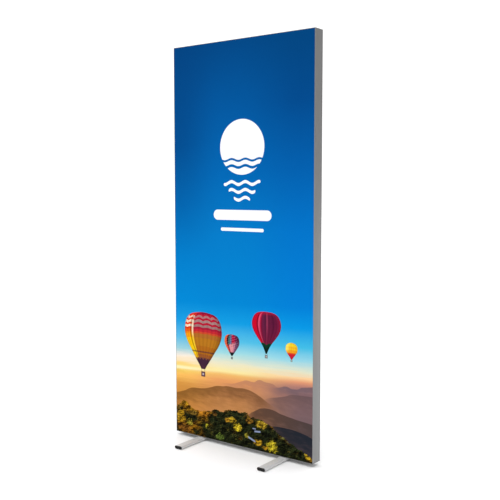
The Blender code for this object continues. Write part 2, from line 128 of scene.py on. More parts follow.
class Slot(Enum):
    """The record's material slots."""

    RAIL = "rail_aluminium"
    FOOT = "foot_aluminium"
    BRACKET = "bracket_steel"
    FASTENER = "fastener_steel"
    BRASS = "brass_insert"
    PLASTIC = "black_plastic"
    RUBBER = "rubber"
    SILICONE = "silicone"
    FABRIC = "printed_fabric"


# Numbers and colours over a surface


@dataclass(frozen=True)
class Field:
    """A number that varies over a surface: one output of a shader node."""

    tree: bpy.types.NodeTree
    socket: bpy.types.NodeSocket

    def __add__(self, other: "Number") -> "Field":
        """The sum."""
        return reckon(self.tree, "ADD", self, other)

    def __radd__(self, other: float) -> "Field":
        """The sum."""
        return reckon(self.tree, "ADD", other, self)

    def __sub__(self, other: "Number") -> "Field":
        """The difference."""
        return reckon(self.tree, "SUBTRACT", self, other)

    def __rsub__(self, other: float) -> "Field":
        """The difference."""
        return reckon(self.tree, "SUBTRACT", other, self)

    def __mul__(self, other: "Number") -> "Field":
        """The product."""
        return reckon(self.tree, "MULTIPLY", self, other)

    def __rmul__(self, other: float) -> "Field":
        """The product."""
        return reckon(self.tree, "MULTIPLY", other, self)

    def __truediv__(self, other: "Number") -> "Field":
        """The quotient."""
        return reckon(self.tree, "DIVIDE", self, other)

    def least(self, other: "Number") -> "Field":
        """The smaller of the two."""
        return reckon(self.tree, "MINIMUM", self, other)

    def most(self, other: "Number") -> "Field":
        """The larger of the two."""
        return reckon(self.tree, "MAXIMUM", self, other)

    def size(self) -> "Field":
        """The number without its sign."""
        return reckon(self.tree, "ABSOLUTE", self)

    def wave(self) -> "Field":
        """The sine."""
        return reckon(self.tree, "SINE", self)

    def arc(self) -> "Field":
        """The angle whose sine this is."""
        return reckon(self.tree, "ARCSINE", self.most(-1.0).least(1.0))

    def whole(self) -> "Field":
        """The whole part."""
        return reckon(self.tree, "FLOOR", self)

    def part(self) -> "Field":
        """What is left past the whole part."""
        return reckon(self.tree, "FRACT", self)

    def rise(self, low: float, high: float, start: float = 0.0, end: float = 1.0) -> "Field":
        """An eased step.

        Args:
            low: Where the step starts.
            high: Where it ends, which may lie below low.
            start: The number before the step.
            end: The number after it.

        Returns:
            The stepped number.
        """
        node = self.tree.nodes.new("ShaderNodeMapRange")
        node.interpolation_type = "SMOOTHSTEP"
        if high < low:
            low, high, start, end = high, low, end, start
        wire(self.tree, self, node.inputs["Value"])
        limits = {"From Min": low, "From Max": high, "To Min": start, "To Max": end}
        for name, value in limits.items():
            node.inputs[name].default_value = value
        return Field(self.tree, node.outputs["Result"])

    def curve(self, points: Sequence[Point]) -> "Field":
        """A smooth line through points.

        Args:
            points: Pairs of this number and the number wanted there, in order.

        Returns:
            The number on the line.
        """
        left, right = points[0][0], points[-1][0]
        low, high = min(y for _, y in points), max(y for _, y in points)
        share = (self - left) * (1 / (right - left))
        node = self.tree.nodes.new("ShaderNodeFloatCurve")
        line = node.mapping.curves[0]
        placed = [((x - left) / (right - left), (y - low) / (high - low)) for x, y in points]
        line.points[0].location, line.points[1].location = placed[0], placed[-1]
        for place in placed[1:-1]:
            line.points.new(*place)
        node.mapping.update()
        wire(self.tree, share, node.inputs["Value"])
        return Field(self.tree, node.outputs["Value"]) * (high - low) + low

    def ramp(self, stops: Sequence[Stop], hard: bool = False) -> "Ink":
        """Colours placed along this number.

        Args:
            stops: Pairs of this number and the print colour there, in order.
            hard: Whether each colour holds until the next one.

        Returns:
            The colour.
        """
        low, high = stops[0][0], stops[-1][0]
        share = (self - low) * (1 / (high - low))
        node = self.tree.nodes.new("ShaderNodeValToRGB")
        band = node.color_ramp
        band.interpolation = "CONSTANT" if hard else "LINEAR"
        while len(band.elements) < len(stops):
            band.elements.new(0.5)
        for element, (place, _) in zip(band.elements, stops):
            element.position = (place - low) / (high - low)
        for element, (_, colour) in zip(band.elements, stops):
            element.color = (*ink(colour), 1)
        wire(self.tree, share, node.inputs["Fac"])
        return Ink(self.tree, node.outputs["Color"])


@dataclass(frozen=True)
class Ink:
    """A colour that varies over a surface."""

    tree: bpy.types.NodeTree
    socket: bpy.types.NodeSocket

    def under(self, colour: "Ink | Rgb", cover: "Number") -> "Ink":
        """This colour with another laid over it.

        Args:
            colour: The colour on top.
            cover: How far it covers, from 0 to 1.

        Returns:
            The mixed colour.
        """
        return self.mixed("MIX", colour if isinstance(colour, Ink) else ink(colour), cover)

    def times(self, light: "Field") -> "Ink":
        """This colour made darker or lighter by a number."""
        node = self.tree.nodes.new("ShaderNodeMix")
        node.data_type, node.clamp_factor = "RGBA", False
        wire(self.tree, light, node.inputs[0])
        node.inputs[6].default_value = (0, 0, 0, 1)
        wire(self.tree, self, node.inputs[7])
        return Ink(self.tree, node.outputs[2])

    def mixed(self, blend: str, colour: "Ink | Rgb", cover: "Number") -> "Ink":
        """This colour mixed with another.

        Args:
            blend: The name of the mix.
            colour: The other colour, as light.
            cover: How much of the mix shows, from 0 to 1.

        Returns:
            The mixed colour.
        """
        node = self.tree.nodes.new("ShaderNodeMix")
        node.data_type, node.blend_type = "RGBA", blend
        wire(self.tree, cover, node.inputs[0])
        wire(self.tree, self, node.inputs[6])
        if isinstance(colour, Ink):
            wire(self.tree, colour, node.inputs[7])
        else:
            node.inputs[7].default_value = (*colour, 1)
        return Ink(self.tree, node.outputs[2])


Number = Field | float


def ink(colour: Rgb) -> Rgb:
    """The light of a print colour given in steps of 255."""
    return tuple(
        c / 255 / 12.92 if c <= 10.3 else ((c / 255 + 0.055) / 1.055) ** 2.4 for c in colour
    )


def wire(
    tree: bpy.types.NodeTree,
    value: "Number | Ink | bpy.types.NodeSocket",
    socket: bpy.types.NodeSocket,
) -> None:
    """Gives a socket its value or its link."""
    if isinstance(value, (Field, Ink)):
        tree.links.new(value.socket, socket)
    elif isinstance(value, bpy.types.NodeSocket):
        tree.links.new(value, socket)
    else:
        socket.default_value = value


def reckon(tree: bpy.types.NodeTree, operation: str, *terms: Number) -> Field:
    """A Math node of that operation over the terms."""
    node = tree.nodes.new("ShaderNodeMath")
    node.operation = operation
    for term, socket in zip(terms, node.inputs):
        wire(tree, term, socket)
    return Field(tree, node.outputs[0])


@dataclass(frozen=True)
class Spot:
    """A place on the print: across from its left edge and down from its top edge, in mm."""

    tree: bpy.types.NodeTree
    across: Field
    down: Field
    place: bpy.types.NodeSocket

    def noise(
        self,
        wide: float,
        high: float,
        seed: float,
        detail: float = 2.0,
        shift: Point = (0.0, 0.0),
        lean: float = 0.0,
    ) -> Field:
        """Cloudy noise about 0.

        Args:
            wide: How wide a cloud is, in mm.
            high: How high it is, in mm.
            seed: A number that picks the clouds.
            detail: How many finer layers it has.
            shift: How far across and down from here it is read, in mm.
            lean: The angle of the clouds, positive where they fall to the right.

        Returns:
            A number from about -0.5 to 0.5.
        """
        mapping = self.tree.nodes.new("ShaderNodeMapping")
        mapping.vector_type = "TEXTURE"
        mapping.inputs["Location"].default_value = (-shift[0] * MM, -seed, shift[1] * MM)
        mapping.inputs["Rotation"].default_value = (0, lean, 0)
        mapping.inputs["Scale"].default_value = (wide * MM, 1, high * MM)
        wire(self.tree, self.place, mapping.inputs["Vector"])
        node = self.tree.nodes.new("ShaderNodeTexNoise")
        wire(self.tree, mapping.outputs[0], node.inputs["Vector"])
        node.inputs["Scale"].default_value = 1
        node.inputs["Detail"].default_value = detail
        return Field(self.tree, node.outputs["Fac"]) - 0.5


# The picture on the print


@dataclass(frozen=True)
class Backdrop:
    """Sky and mist, coloured by how far a place is below a sloping horizon, in three columns."""

    horizon_left: float = 1653
    horizon_slope: float = 0.0435
    left: Sequence[Stop] = (
        (-1640, (0, 65, 125)), (-1150, (0, 75, 140)), (-850, (0, 97, 168)), (-550, (0, 125, 200)),
        (-350, (0, 135, 210)), (-250, (25, 155, 222)), (-160, (92, 186, 228)),
        (-100, (158, 208, 217)), (-60, (250, 235, 220)), (-14, (250, 210, 105)),
        (0, (254, 250, 205)), (12, (244, 208, 105)), (40, (250, 190, 95)), (90, (210, 145, 66)),
        (180, (205, 137, 64)),
    )
    middle: Sequence[Stop] = (
        (-1640, (0, 68, 128)), (-1300, (0, 85, 155)), (-1000, (0, 100, 175)),
        (-700, (2, 120, 195)), (-350, (0, 132, 208)), (-250, (16, 154, 222)),
        (-160, (85, 190, 228)), (-100, (160, 217, 224)), (-45, (236, 230, 198)),
        (-5, (250, 232, 160)), (10, (242, 188, 108)), (40, (232, 158, 98)), (120, (200, 136, 82)),
        (180, (192, 132, 78)),
    )
    right: Sequence[Stop] = (
        (-1640, (0, 66, 122)), (-1300, (0, 72, 138)), (-1000, (0, 92, 168)),
        (-700, (0, 113, 196)), (-350, (0, 125, 210)), (-250, (5, 150, 224)),
        (-160, (66, 186, 225)), (-100, (150, 212, 228)), (-45, (225, 227, 200)),
        (-16, (250, 204, 150)), (2, (226, 154, 115)), (20, (184, 126, 113)), (40, (150, 112, 112)),
        (180, (118, 94, 97)),
    )

    def height(self, spot: Spot) -> Field:
        """How far a place is below the horizon, in mm."""
        return spot.down + spot.across * self.horizon_slope - self.horizon_left

    def paint(self, spot: Spot) -> Ink:
        """The backdrop's colour, streaked a little along the horizon."""
        below = self.height(spot)
        tilt = -self.horizon_slope
        cirrus = spot.noise(210, 13, 3.1, 4, lean=tilt)
        cirrus = cirrus * below.rise(-130, -60) * below.rise(-4, -26)
        drift = spot.noise(120, 10, 8.3, 4, lean=tilt) * below.rise(10, 60)
        below = below + cirrus * 46 + drift * 40
        near_middle = spot.across.rise(20, 330)
        near_right = spot.across.rise(400, 800)
        mist = below.ramp(self.left).under(below.ramp(self.middle), near_middle)
        return mist.under(below.ramp(self.right), near_right)


@dataclass(frozen=True)
class Ridge:
    """A range of hills, dark along its crest and lost in mist below it."""

    crest: Sequence[Point]
    left: Rgb
    right: Rgb
    depth: float
    seed: float
    strength: float = 1.0
    start: float = -400
    end: float = 1200
    rough: float = 5.0

    def paint(self, spot: Spot, under: Ink) -> Ink:
        """Lays the hills over what is behind them.

        Args:
            spot: The place on the print.
            under: The colour so far.

        Returns:
            The colour with the hills.
        """
        line = spot.across.curve(self.crest)
        line = line + spot.noise(38, 38, self.seed, 4) * self.rough
        below = spot.down - line
        spurs = spot.noise(46, 20, self.seed + 5, 5, lean=0.25) * 0.9
        spurs = spurs + spot.noise(90, 9, self.seed + 9, 4) * 0.7
        haze = (below + spurs * (self.depth * 0.7)).rise(0, self.depth, self.strength, 0.0)
        cover = below.rise(-1.2, 1.4) * haze
        cover = cover * spot.across.rise(self.start - 60, self.start + 60)
        cover = cover * spot.across.rise(self.end + 60, self.end - 60)
        span = spot.across * (1 / PRINT_WIDTH)
        colour = span.ramp(((0.0, self.left), (1.0, self.right)))
        return under.under(colour, cover)


@dataclass(frozen=True)
class Crown:
    """A lit tree among the others: middle, half width, half height and colour."""

    across: float
    down: float
    wide: float
    high: float
    colour: Rgb


@dataclass(frozen=True)
class Woodland:
    """The wooded hill along the bottom."""

    line: Sequence[Point] = (
        (0, 1862), (28, 1846), (52, 1826), (80, 1838), (110, 1856), (150, 1866), (200, 1862),
        (240, 1850), (275, 1838), (310, 1850), (335, 1832), (370, 1829), (410, 1829), (450, 1825),
        (500, 1836), (560, 1846), (600, 1856), (640, 1882), (680, 1902), (740, 1930), (800, 1956),
        (850, 1972),
    )
    greens: Sequence[Stop] = (
        (0.0, (12, 14, 14)), (0.25, (28, 34, 20)), (0.45, (50, 54, 24)), (0.6, (34, 48, 30)),
        (0.75, (84, 76, 30)), (1.0, (70, 92, 44)),
    )
    golds: Sequence[Stop] = (
        (0.0, (40, 28, 12)), (0.3, (110, 72, 16)), (0.6, (168, 116, 22)), (1.0, (224, 170, 40)),
    )
    crowns: Sequence[Crown] = (
        Crown(30, 1912, 36, 32, (214, 164, 36)), Crown(92, 1934, 20, 20, (196, 178, 60)),
        Crown(209, 1934, 13, 14, (214, 202, 56)), Crown(190, 1874, 38, 16, (196, 128, 34)),
        Crown(120, 1880, 34, 12, (150, 116, 44)), Crown(376, 1874, 30, 15, (214, 176, 44)),
        Crown(410, 1906, 30, 22, (232, 204, 48)), Crown(345, 1880, 16, 12, (204, 150, 40)),
        Crown(482, 1858, 22, 16, (168, 120, 40)), Crown(555, 1866, 36, 20, (206, 170, 48)),
        Crown(466, 1936, 14, 14, (170, 158, 50)), Crown(536, 1958, 26, 16, (232, 180, 44)),
        Crown(618, 1962, 36, 30, (236, 214, 52)), Crown(580, 1975, 20, 10, (214, 160, 40)),
        Crown(822, 1962, 20, 20, (226, 186, 44)), Crown(296, 1974, 26, 20, (116, 140, 58)),
        Crown(60, 1972, 56, 22, (150, 98, 34)), Crown(682, 1908, 16, 6, (128, 124, 62)),
        Crown(720, 1922, 20, 5, (104, 104, 66)), Crown(262, 1862, 14, 14, (120, 84, 34)),
    )
    roofs: Sequence[tuple[float, float, float, float, float]] = (
        (532, 1904, 19, 4.5, 0.1), (497, 1949, 23, 5, -0.36), (512, 1893, 10, 3, 0.0),
    )
    roof_blue: Rgb = (150, 164, 200)

    def paint(self, spot: Spot, under: Ink) -> Ink:
        """Lays the wood over the hills behind it.

        Args:
            spot: The place on the print.
            under: The colour so far.

        Returns:
            The colour with the wood.
        """
        ragged = spot.noise(26, 26, 7.7, 3) * 30 + spot.noise(7, 9, 2.2, 3) * 16
        below = spot.down - spot.across.curve(self.line) + ragged
        cover = below.rise(-1.0, 1.0)
        mounds = spot.noise(26, 24, 4.4, 1) - spot.noise(26, 24, 4.4, 1, (-6, -9))
        leaves = spot.noise(7, 6.5, 9.1, 3) - spot.noise(7, 6.5, 9.1, 3, (-1.6, -2.4))
        lit = mounds * 2.3 + leaves * 3.2 + 0.42 + below.rise(22, 0) * 0.25
        pick = spot.noise(30, 22, 5.5, 3) * 1.5 + spot.noise(6, 5, 1.1, 2) * 0.8 + 0.5
        wood = pick.ramp(self.greens)
        warm = spot.across.rise(330, 20, 0.0, 0.55) + spot.noise(64, 40, 3.3, 2) * 1.8
        warm = warm + below.rise(40, 0, 0.0, 0.3)
        wood = wood.under(pick.ramp(self.golds), warm.rise(0.2, 0.75))
        edge = spot.noise(13, 13, 6.3, 3) * 2.4
        for crown in self.crowns:
            beside = (spot.across - crown.across) * (1 / crown.wide)
            above = (spot.down - crown.down) * (1 / crown.high)
            inside = (beside * beside + above * above + edge).rise(1.2, 0.5)
            wood = wood.under(crown.colour, inside)
        wood = wood.times(lit.most(0.03).least(1.5))
        for across, down, wide, high, lean in self.roofs:
            beside = (spot.across - across).size() * (1 / wide)
            above = (spot.down - down + (spot.across - across) * lean).size() * (1 / high)
            wood = wood.under(self.roof_blue, beside.most(above).rise(1.1, 0.75) * 0.85)
        return under.under(wood, cover)


@dataclass(frozen=True)
class Envelope:
    """A hot-air balloon: its outline, its cloth and its basket. Sizes are in mm on the print."""

    middle: float
    half: float
    top: float
    tip: float
    cloth: Callable[[Field, Field, Field], Ink]
    basket: tuple[float, float, float, Rgb]
    outline: Sequence[Point] = (
        (0.0, 0.0), (0.02, 0.42), (0.05, 0.67), (0.11, 0.84), (0.18, 0.94), (0.28, 0.995),
        (0.37, 1.0), (0.45, 0.955), (0.54, 0.865), (0.69, 0.62), (0.87, 0.315), (0.94, 0.19),
        (1.0, 0.1),
    )

    def paint(self, spot: Spot, under: Ink) -> Ink:
        """Lays the balloon over the sky.

        Args:
            spot: The place on the print.
            under: The colour so far.

        Returns:
            The colour with the balloon.
        """
        fall = (spot.down - self.top) * (1 / (self.tip - self.top))
        width = fall.curve(self.outline).most(0.02) * self.half
        beside = spot.across - self.middle
        edge = width - beside.size()
        cover = edge.rise(-0.7, 0.9) * fall.rise(1.004, 0.996) * fall.rise(-0.002, 0.002)
        share = (beside / width).most(-1.0).least(1.0)
        turn = share.arc()
        colour = self.cloth(fall, share, turn)
        rim = edge.rise(0.0, self.half * 0.09, 0.72, 1.0)
        painted = under.under(colour.times(rim), cover)
        down, wide, high, tone = self.basket
        beside_basket = beside.size() * (1 / wide)
        above_basket = (spot.down - down).size() * (1 / high)
        painted = painted.under(tone, beside_basket.most(above_basket).rise(1.12, 0.9))
        window = (beside_basket * 2.2).most(above_basket * 2.2).rise(1.15, 0.7)
        painted = painted.under((206, 196, 200), window * 0.75)
        ropes = (beside.size() - wide * 0.8).size().rise(1.6, 0.4) * 0.8
        between = (spot.down - self.tip).rise(-1, 1) * (spot.down - down).rise(1, -1)
        return painted.under(tone, ropes * between)


def gores(turn: Field, count: float, depth: float, shift: float = 0.0) -> Field:
    """The shade of the cloth as it puffs out between its seams.

    Args:
        turn: The angle round the balloon.
        count: How many gores show.
        depth: How dark the seams are.
        shift: How far the seams are turned, in gores.

    Returns:
        A number up to 1, lowest at the seams.
    """
    across = (turn * (count / pi) + shift).part() - 0.5
    return 1.0 - across * across * (4 * depth)


# The cloths: how far down the balloon, how far across it and the angle round it give the colour


def striped_cloth(fall: Field, share: Field, turn: Field) -> Ink:
    """Red and pale waves over gold, with a dark skirt."""
    ripple = (turn * 6.0).wave().size() * fall.rise(0.05, 0.4, -0.03, -0.008)
    tilt = share * share * -0.024
    band = fall - ripple + tilt
    shaded = (
        (0.0, (146, 20, 52)), (0.05, (186, 26, 52)), (0.085, (176, 118, 120)),
        (0.122, (186, 22, 52)), (0.158, (168, 130, 128)), (0.2, (184, 26, 54)),
        (0.235, (160, 120, 118)), (0.275, (170, 30, 56)), (0.31, (196, 40, 52)),
        (0.352, (204, 74, 44)), (0.385, (176, 106, 40)), (0.46, (184, 118, 30)),
        (0.6, (176, 104, 26)), (0.74, (154, 86, 40)), (0.8, (124, 72, 52)), (0.86, (92, 54, 70)),
        (1.0, (70, 40, 62)),
    )
    sunlit = (
        (0.0, (236, 60, 44)), (0.05, (242, 56, 30)), (0.085, (250, 206, 178)),
        (0.122, (238, 52, 20)), (0.158, (252, 220, 190)), (0.2, (240, 62, 20)),
        (0.235, (252, 226, 198)), (0.275, (232, 64, 26)), (0.31, (240, 96, 24)),
        (0.352, (246, 130, 18)), (0.385, (248, 160, 18)), (0.46, (250, 196, 16)),
        (0.6, (252, 206, 20)), (0.74, (244, 184, 34)), (0.8, (170, 104, 52)), (0.86, (96, 56, 70)),
        (1.0, (70, 40, 62)),
    )
    sun = share.rise(-0.5, -0.66)
    cloth = band.ramp(shaded, hard=True).under(band.ramp(sunlit, hard=True), sun)
    seam = (share + 0.67).size().rise(0.0, 0.075, 0.5, 1.0)
    glow = (share + 0.58).size().rise(0.075, 0.0) * fall.rise(0.1, 0.22) * fall.rise(0.74, 0.6)
    shine = fall.ramp(
        (
            (0.0, (255, 236, 204)), (0.36, (255, 236, 196)), (0.46, (255, 214, 60)),
            (1.0, (250, 196, 40)),
        )
    )
    cloth = cloth.under(shine, glow * 0.85)
    skirt = ((turn * (7 / pi)).part() - 0.5).size() * 0.08 + 0.8
    below_skirt = (fall - skirt).rise(-0.004, 0.004)
    cloth = cloth.under((68, 38, 60), below_skirt * fall.rise(0.97, 0.9, 0.7, 1.0))
    ring = (fall - 0.7).size().rise(0.016, 0.01)
    cloth = cloth.under((74, 40, 50), ring * 0.7)
    far = share.rise(0.6, 1.0, 1.0, 0.62)
    light = gores(turn, 13.0, 0.2) * seam * far
    return cloth.times(light)


def red_cloth(fall: Field, share: Field, turn: Field) -> Ink:
    """Red in the sun and wine in the shade, with a dark green skirt."""
    cloth = share.ramp(
        (
            (-1.0, (176, 10, 44)), (-0.84, (214, 10, 44)), (-0.7, (200, 8, 42)),
            (-0.64, (120, 6, 34)), (-0.57, (196, 34, 70)), (-0.52, (236, 96, 122)),
            (-0.46, (206, 44, 84)), (-0.36, (140, 20, 56)), (-0.28, (104, 30, 64)),
            (-0.06, (88, 30, 62)), (0.0, (112, 34, 66)), (0.05, (166, 62, 92)),
            (0.11, (104, 30, 62)), (0.5, (88, 22, 56)), (0.82, (116, 26, 62)),
            (1.0, (170, 20, 56)),
        )
    )
    cloth = cloth.under((112, 26, 58), fall.rise(0.2, 0.7) * share.rise(-0.7, -0.4) * 0.7)
    cloth = cloth.under((196, 24, 56), fall.rise(0.1, 0.0) * 0.7)
    skirt = (turn * 2.0).wave().size() * -0.05 + 0.79
    cloth = cloth.under((10, 58, 38), (fall - skirt).rise(-0.01, 0.01))
    cloth = cloth.under((14, 22, 22), (fall - skirt).rise(0.02, 0.16) * 0.8)
    return cloth.times(gores(turn, 11.0, 0.22, 0.25))


def patchwork_cloth(fall: Field, share: Field, turn: Field) -> Ink:
    """Patches of many colours, with a dark tip."""
    top = share.ramp(
        (
            (-1.0, (232, 96, 48)), (-0.72, (70, 14, 34)), (-0.5, (36, 104, 104)),
            (-0.3, (92, 112, 150)), (-0.06, (190, 28, 66)), (0.4, (122, 34, 76)),
            (0.74, (84, 26, 62)), (1.0, (84, 26, 62)),
        ),
        hard=True,
    )
    low = share.ramp(
        (
            (-1.0, (226, 90, 50)), (-0.7, (150, 20, 48)), (-0.42, (222, 142, 150)),
            (0.2, (196, 120, 140)), (0.5, (120, 70, 104)), (1.0, (120, 70, 104)),
        ),
        hard=True,
    )
    cloth = top.under(low, (fall + share * 0.16).rise(0.4, 0.46))
    row = ((fall * 9.0 + turn * 1.2).part() - 0.5).size()
    column = ((turn * 3.4).part() - 0.5).size()
    checks = row.rise(0.2, 0.3) * column.rise(0.2, 0.3) * share.rise(-0.3, -0.1)
    cloth = cloth.under((46, 16, 40), checks * fall.rise(0.62, 0.5) * 0.75)
    dots = row.rise(0.1, 0.02) * column.rise(0.12, 0.02)
    cloth = cloth.under((236, 232, 240), dots * 0.8)
    dark = cloth.under((16, 22, 26), fall.rise(0.8, 0.87))
    return dark.times(share.rise(0.5, 1.0, 1.0, 0.6))


def yellow_cloth(fall: Field, share: Field, turn: Field) -> Ink:
    """Yellow with orange bands, and red below."""
    band = (fall + share * share * -0.03).ramp(
        (
            (0.0, (232, 190, 44)), (0.16, (248, 214, 44)), (0.3, (246, 176, 34)),
            (0.36, (250, 208, 40)), (0.48, (244, 150, 30)), (0.55, (248, 176, 34)),
            (0.62, (224, 76, 34)), (0.7, (206, 30, 48)), (1.0, (190, 28, 62)),
        )
    )
    lit = band.under((255, 248, 120), share.rise(-0.2, -0.8) * fall.rise(0.6, 0.4) * 0.6)
    return lit.times(gores(turn, 10.0, 0.14) * share.rise(0.3, 1.0, 1.0, 0.84))


@dataclass(frozen=True)
class Emblem:
    """A plain white sun over three waves, with two plain bars under it."""

    white: Rgb = (250, 252, 253)
    middle: float = 437
    sun_down: float = 516
    sun_radius: float = 134
    sun_gaps: Sequence[Point] = ((578, 5.5), (610, 7.0))
    ripple: float = 0.075
    stroke: float = 7.5
    blur: float = 0.8
    waves: Sequence[Point] = ((690, 104), (728, 74), (766, 42))
    bars: Sequence[tuple[float, float, float]] = ((846, 176, 25), (917, 131, 8))

    def paint(self, spot: Spot, under: Ink) -> Ink:
        """Lays the emblem over the sky.

        Args:
            spot: The place on the print.
            under: The colour so far.

        Returns:
            The colour with the emblem.
        """
        beside = spot.across - self.middle
        above = spot.down - self.sun_down
        radius = reckon(spot.tree, "SQRT", beside * beside + above * above)
        shown = (radius - self.sun_radius).rise(self.blur, -self.blur)
        for down, half in self.sun_gaps:
            wavy = spot.down - down + (beside * self.ripple).wave() * 5
            shown = shown * (wavy.size() - half).rise(-self.blur, self.blur)
        painted = under.under(self.white, shown)
        for down, half in self.waves:
            wavy = (spot.down - down + (beside * self.ripple).wave() * 7).size()
            end = (beside.size() - half).most(0.0)
            across = reckon(spot.tree, "SQRT", wavy * wavy + end * end)
            painted = painted.under(self.white, (across - self.stroke).rise(self.blur, -self.blur))
        for down, half, high in self.bars:
            past = (beside.size() - (half - high)).most(0.0)
            off = spot.down - down
            reach = reckon(spot.tree, "SQRT", past * past + off * off)
            painted = painted.under(self.white, (reach - high).rise(self.blur, -self.blur))
        return painted


@dataclass(frozen=True)
class Picture:
    """The whole picture, as a node group that turns a place on the fabric into a colour."""

    left: float
    top: float
    backdrop: Backdrop = Backdrop()
    ridges: Sequence[Ridge] = (
        Ridge(
            ((0, 1666), (30, 1664), (75, 1676), (850, 1720)),
            (214, 168, 66), (214, 168, 66), 26, 1.3, 0.5, -200, 40, 3,
        ),
        Ridge(
            (
                (0, 1760), (250, 1712), (317, 1694), (365, 1690), (410, 1678), (440, 1666),
                (470, 1659), (505, 1661), (544, 1645), (575, 1650), (610, 1652), (652, 1666),
                (700, 1672), (850, 1668),
            ),
            (226, 150, 92), (128, 96, 100), 85, 2.9, 0.72, 330, 1200, 5,
        ),
        Ridge(
            (
                (0, 1740), (560, 1676), (640, 1668), (672, 1661), (700, 1654), (740, 1661),
                (790, 1646), (850, 1634),
            ),
            (136, 104, 106), (104, 88, 98), 60, 6.1, 0.8, 640, 1200, 4,
        ),
        Ridge(
            (
                (0, 1790), (560, 1740), (600, 1726), (650, 1714), (700, 1700), (737, 1688),
                (790, 1684), (850, 1682),
            ),
            (150, 104, 84), (96, 78, 82), 120, 8.4, 0.8, 600, 1200, 4,
        ),
        Ridge(
            (
                (0, 1790), (60, 1772), (100, 1753), (130, 1747), (180, 1743), (230, 1731),
                (280, 1715), (317, 1711), (350, 1706), (400, 1707), (440, 1703), (470, 1704),
                (510, 1713), (550, 1728), (600, 1752), (700, 1790), (850, 1830),
            ),
            (140, 92, 38), (120, 80, 62), 125, 4.6, 0.95, -400, 600, 4,
        ),
        Ridge(
            (
                (0, 1830), (460, 1830), (493, 1816), (530, 1796), (560, 1783), (600, 1779),
                (630, 1782), (665, 1791), (708, 1798), (780, 1806), (850, 1812),
            ),
            (120, 76, 36), (74, 62, 62), 260, 5.8, 0.98, 470, 1200, 3,
        ),
        Ridge(
            ((0, 1990), (560, 1880), (620, 1862), (700, 1856), (780, 1862), (850, 1880)),
            (30, 36, 40), (22, 34, 46), 400, 3.7, 0.9, 600, 1200, 4,
        ),
    )
    woodland: Woodland = Woodland()
    balloons: Sequence[Envelope] = (
        Envelope(187, 123, 1346, 1641, striped_cloth, (1667, 13, 13, (88, 50, 66))),
        Envelope(374, 47, 1440, 1548, patchwork_cloth, (1560, 5.5, 5, (52, 66, 70))),
        Envelope(
            584, 86, 1307, 1511, red_cloth, (1525, 8, 8, (118, 112, 108)),
            (
                (0.0, 0.0), (0.015, 0.45), (0.06, 0.72), (0.13, 0.88), (0.2, 0.96), (0.28, 1.0),
                (0.36, 0.99), (0.45, 0.92), (0.6, 0.68), (0.75, 0.38), (0.86, 0.2), (1.0, 0.05),
            ),
        ),
        Envelope(
            730, 34, 1440, 1521, yellow_cloth, (1527, 5, 4, (120, 132, 112)),
            (
                (0.0, 0.0), (0.03, 0.42), (0.1, 0.74), (0.22, 0.95), (0.36, 1.0), (0.5, 0.95),
                (0.62, 0.76), (0.74, 0.55), (0.86, 0.3), (1.0, 0.1),
            ),
        ),
    )
    emblem: Emblem = Emblem()

    def group(self) -> bpy.types.NodeTree:
        """The node group, whose output is the picture's colour."""
        tree = bpy.data.node_groups.new("printed_picture", "ShaderNodeTree")
        tree.interface.new_socket("Colour", in_out="OUTPUT", socket_type="NodeSocketColor")
        place = tree.nodes.new("ShaderNodeTexCoord").outputs["Object"]
        split = tree.nodes.new("ShaderNodeSeparateXYZ")
        wire(tree, place, split.inputs[0])
        across = (Field(tree, split.outputs[0]) - self.left) * (1 / MM)
        down = (self.top - Field(tree, split.outputs[2])) * (1 / MM)
        spot = Spot(tree, across, down, place)
        colour = self.backdrop.paint(spot)
        for layer in (*self.ridges, self.woodland, *self.balloons, self.emblem):
            colour = layer.paint(spot, colour)
        wire(tree, colour, tree.nodes.new("NodeGroupOutput").inputs[0])
        return tree


# Finishes


class Grain(Enum):
    """Which way a finish's fine lines run, as how much each axis is stretched."""

    ALONG_X = (0.02, 1.0, 1.0)
    ALONG_Y = (1.0, 0.02, 1.0)
    ALONG_Z = (1.0, 1.0, 0.02)
    NONE = (1.0, 1.0, 1.0)


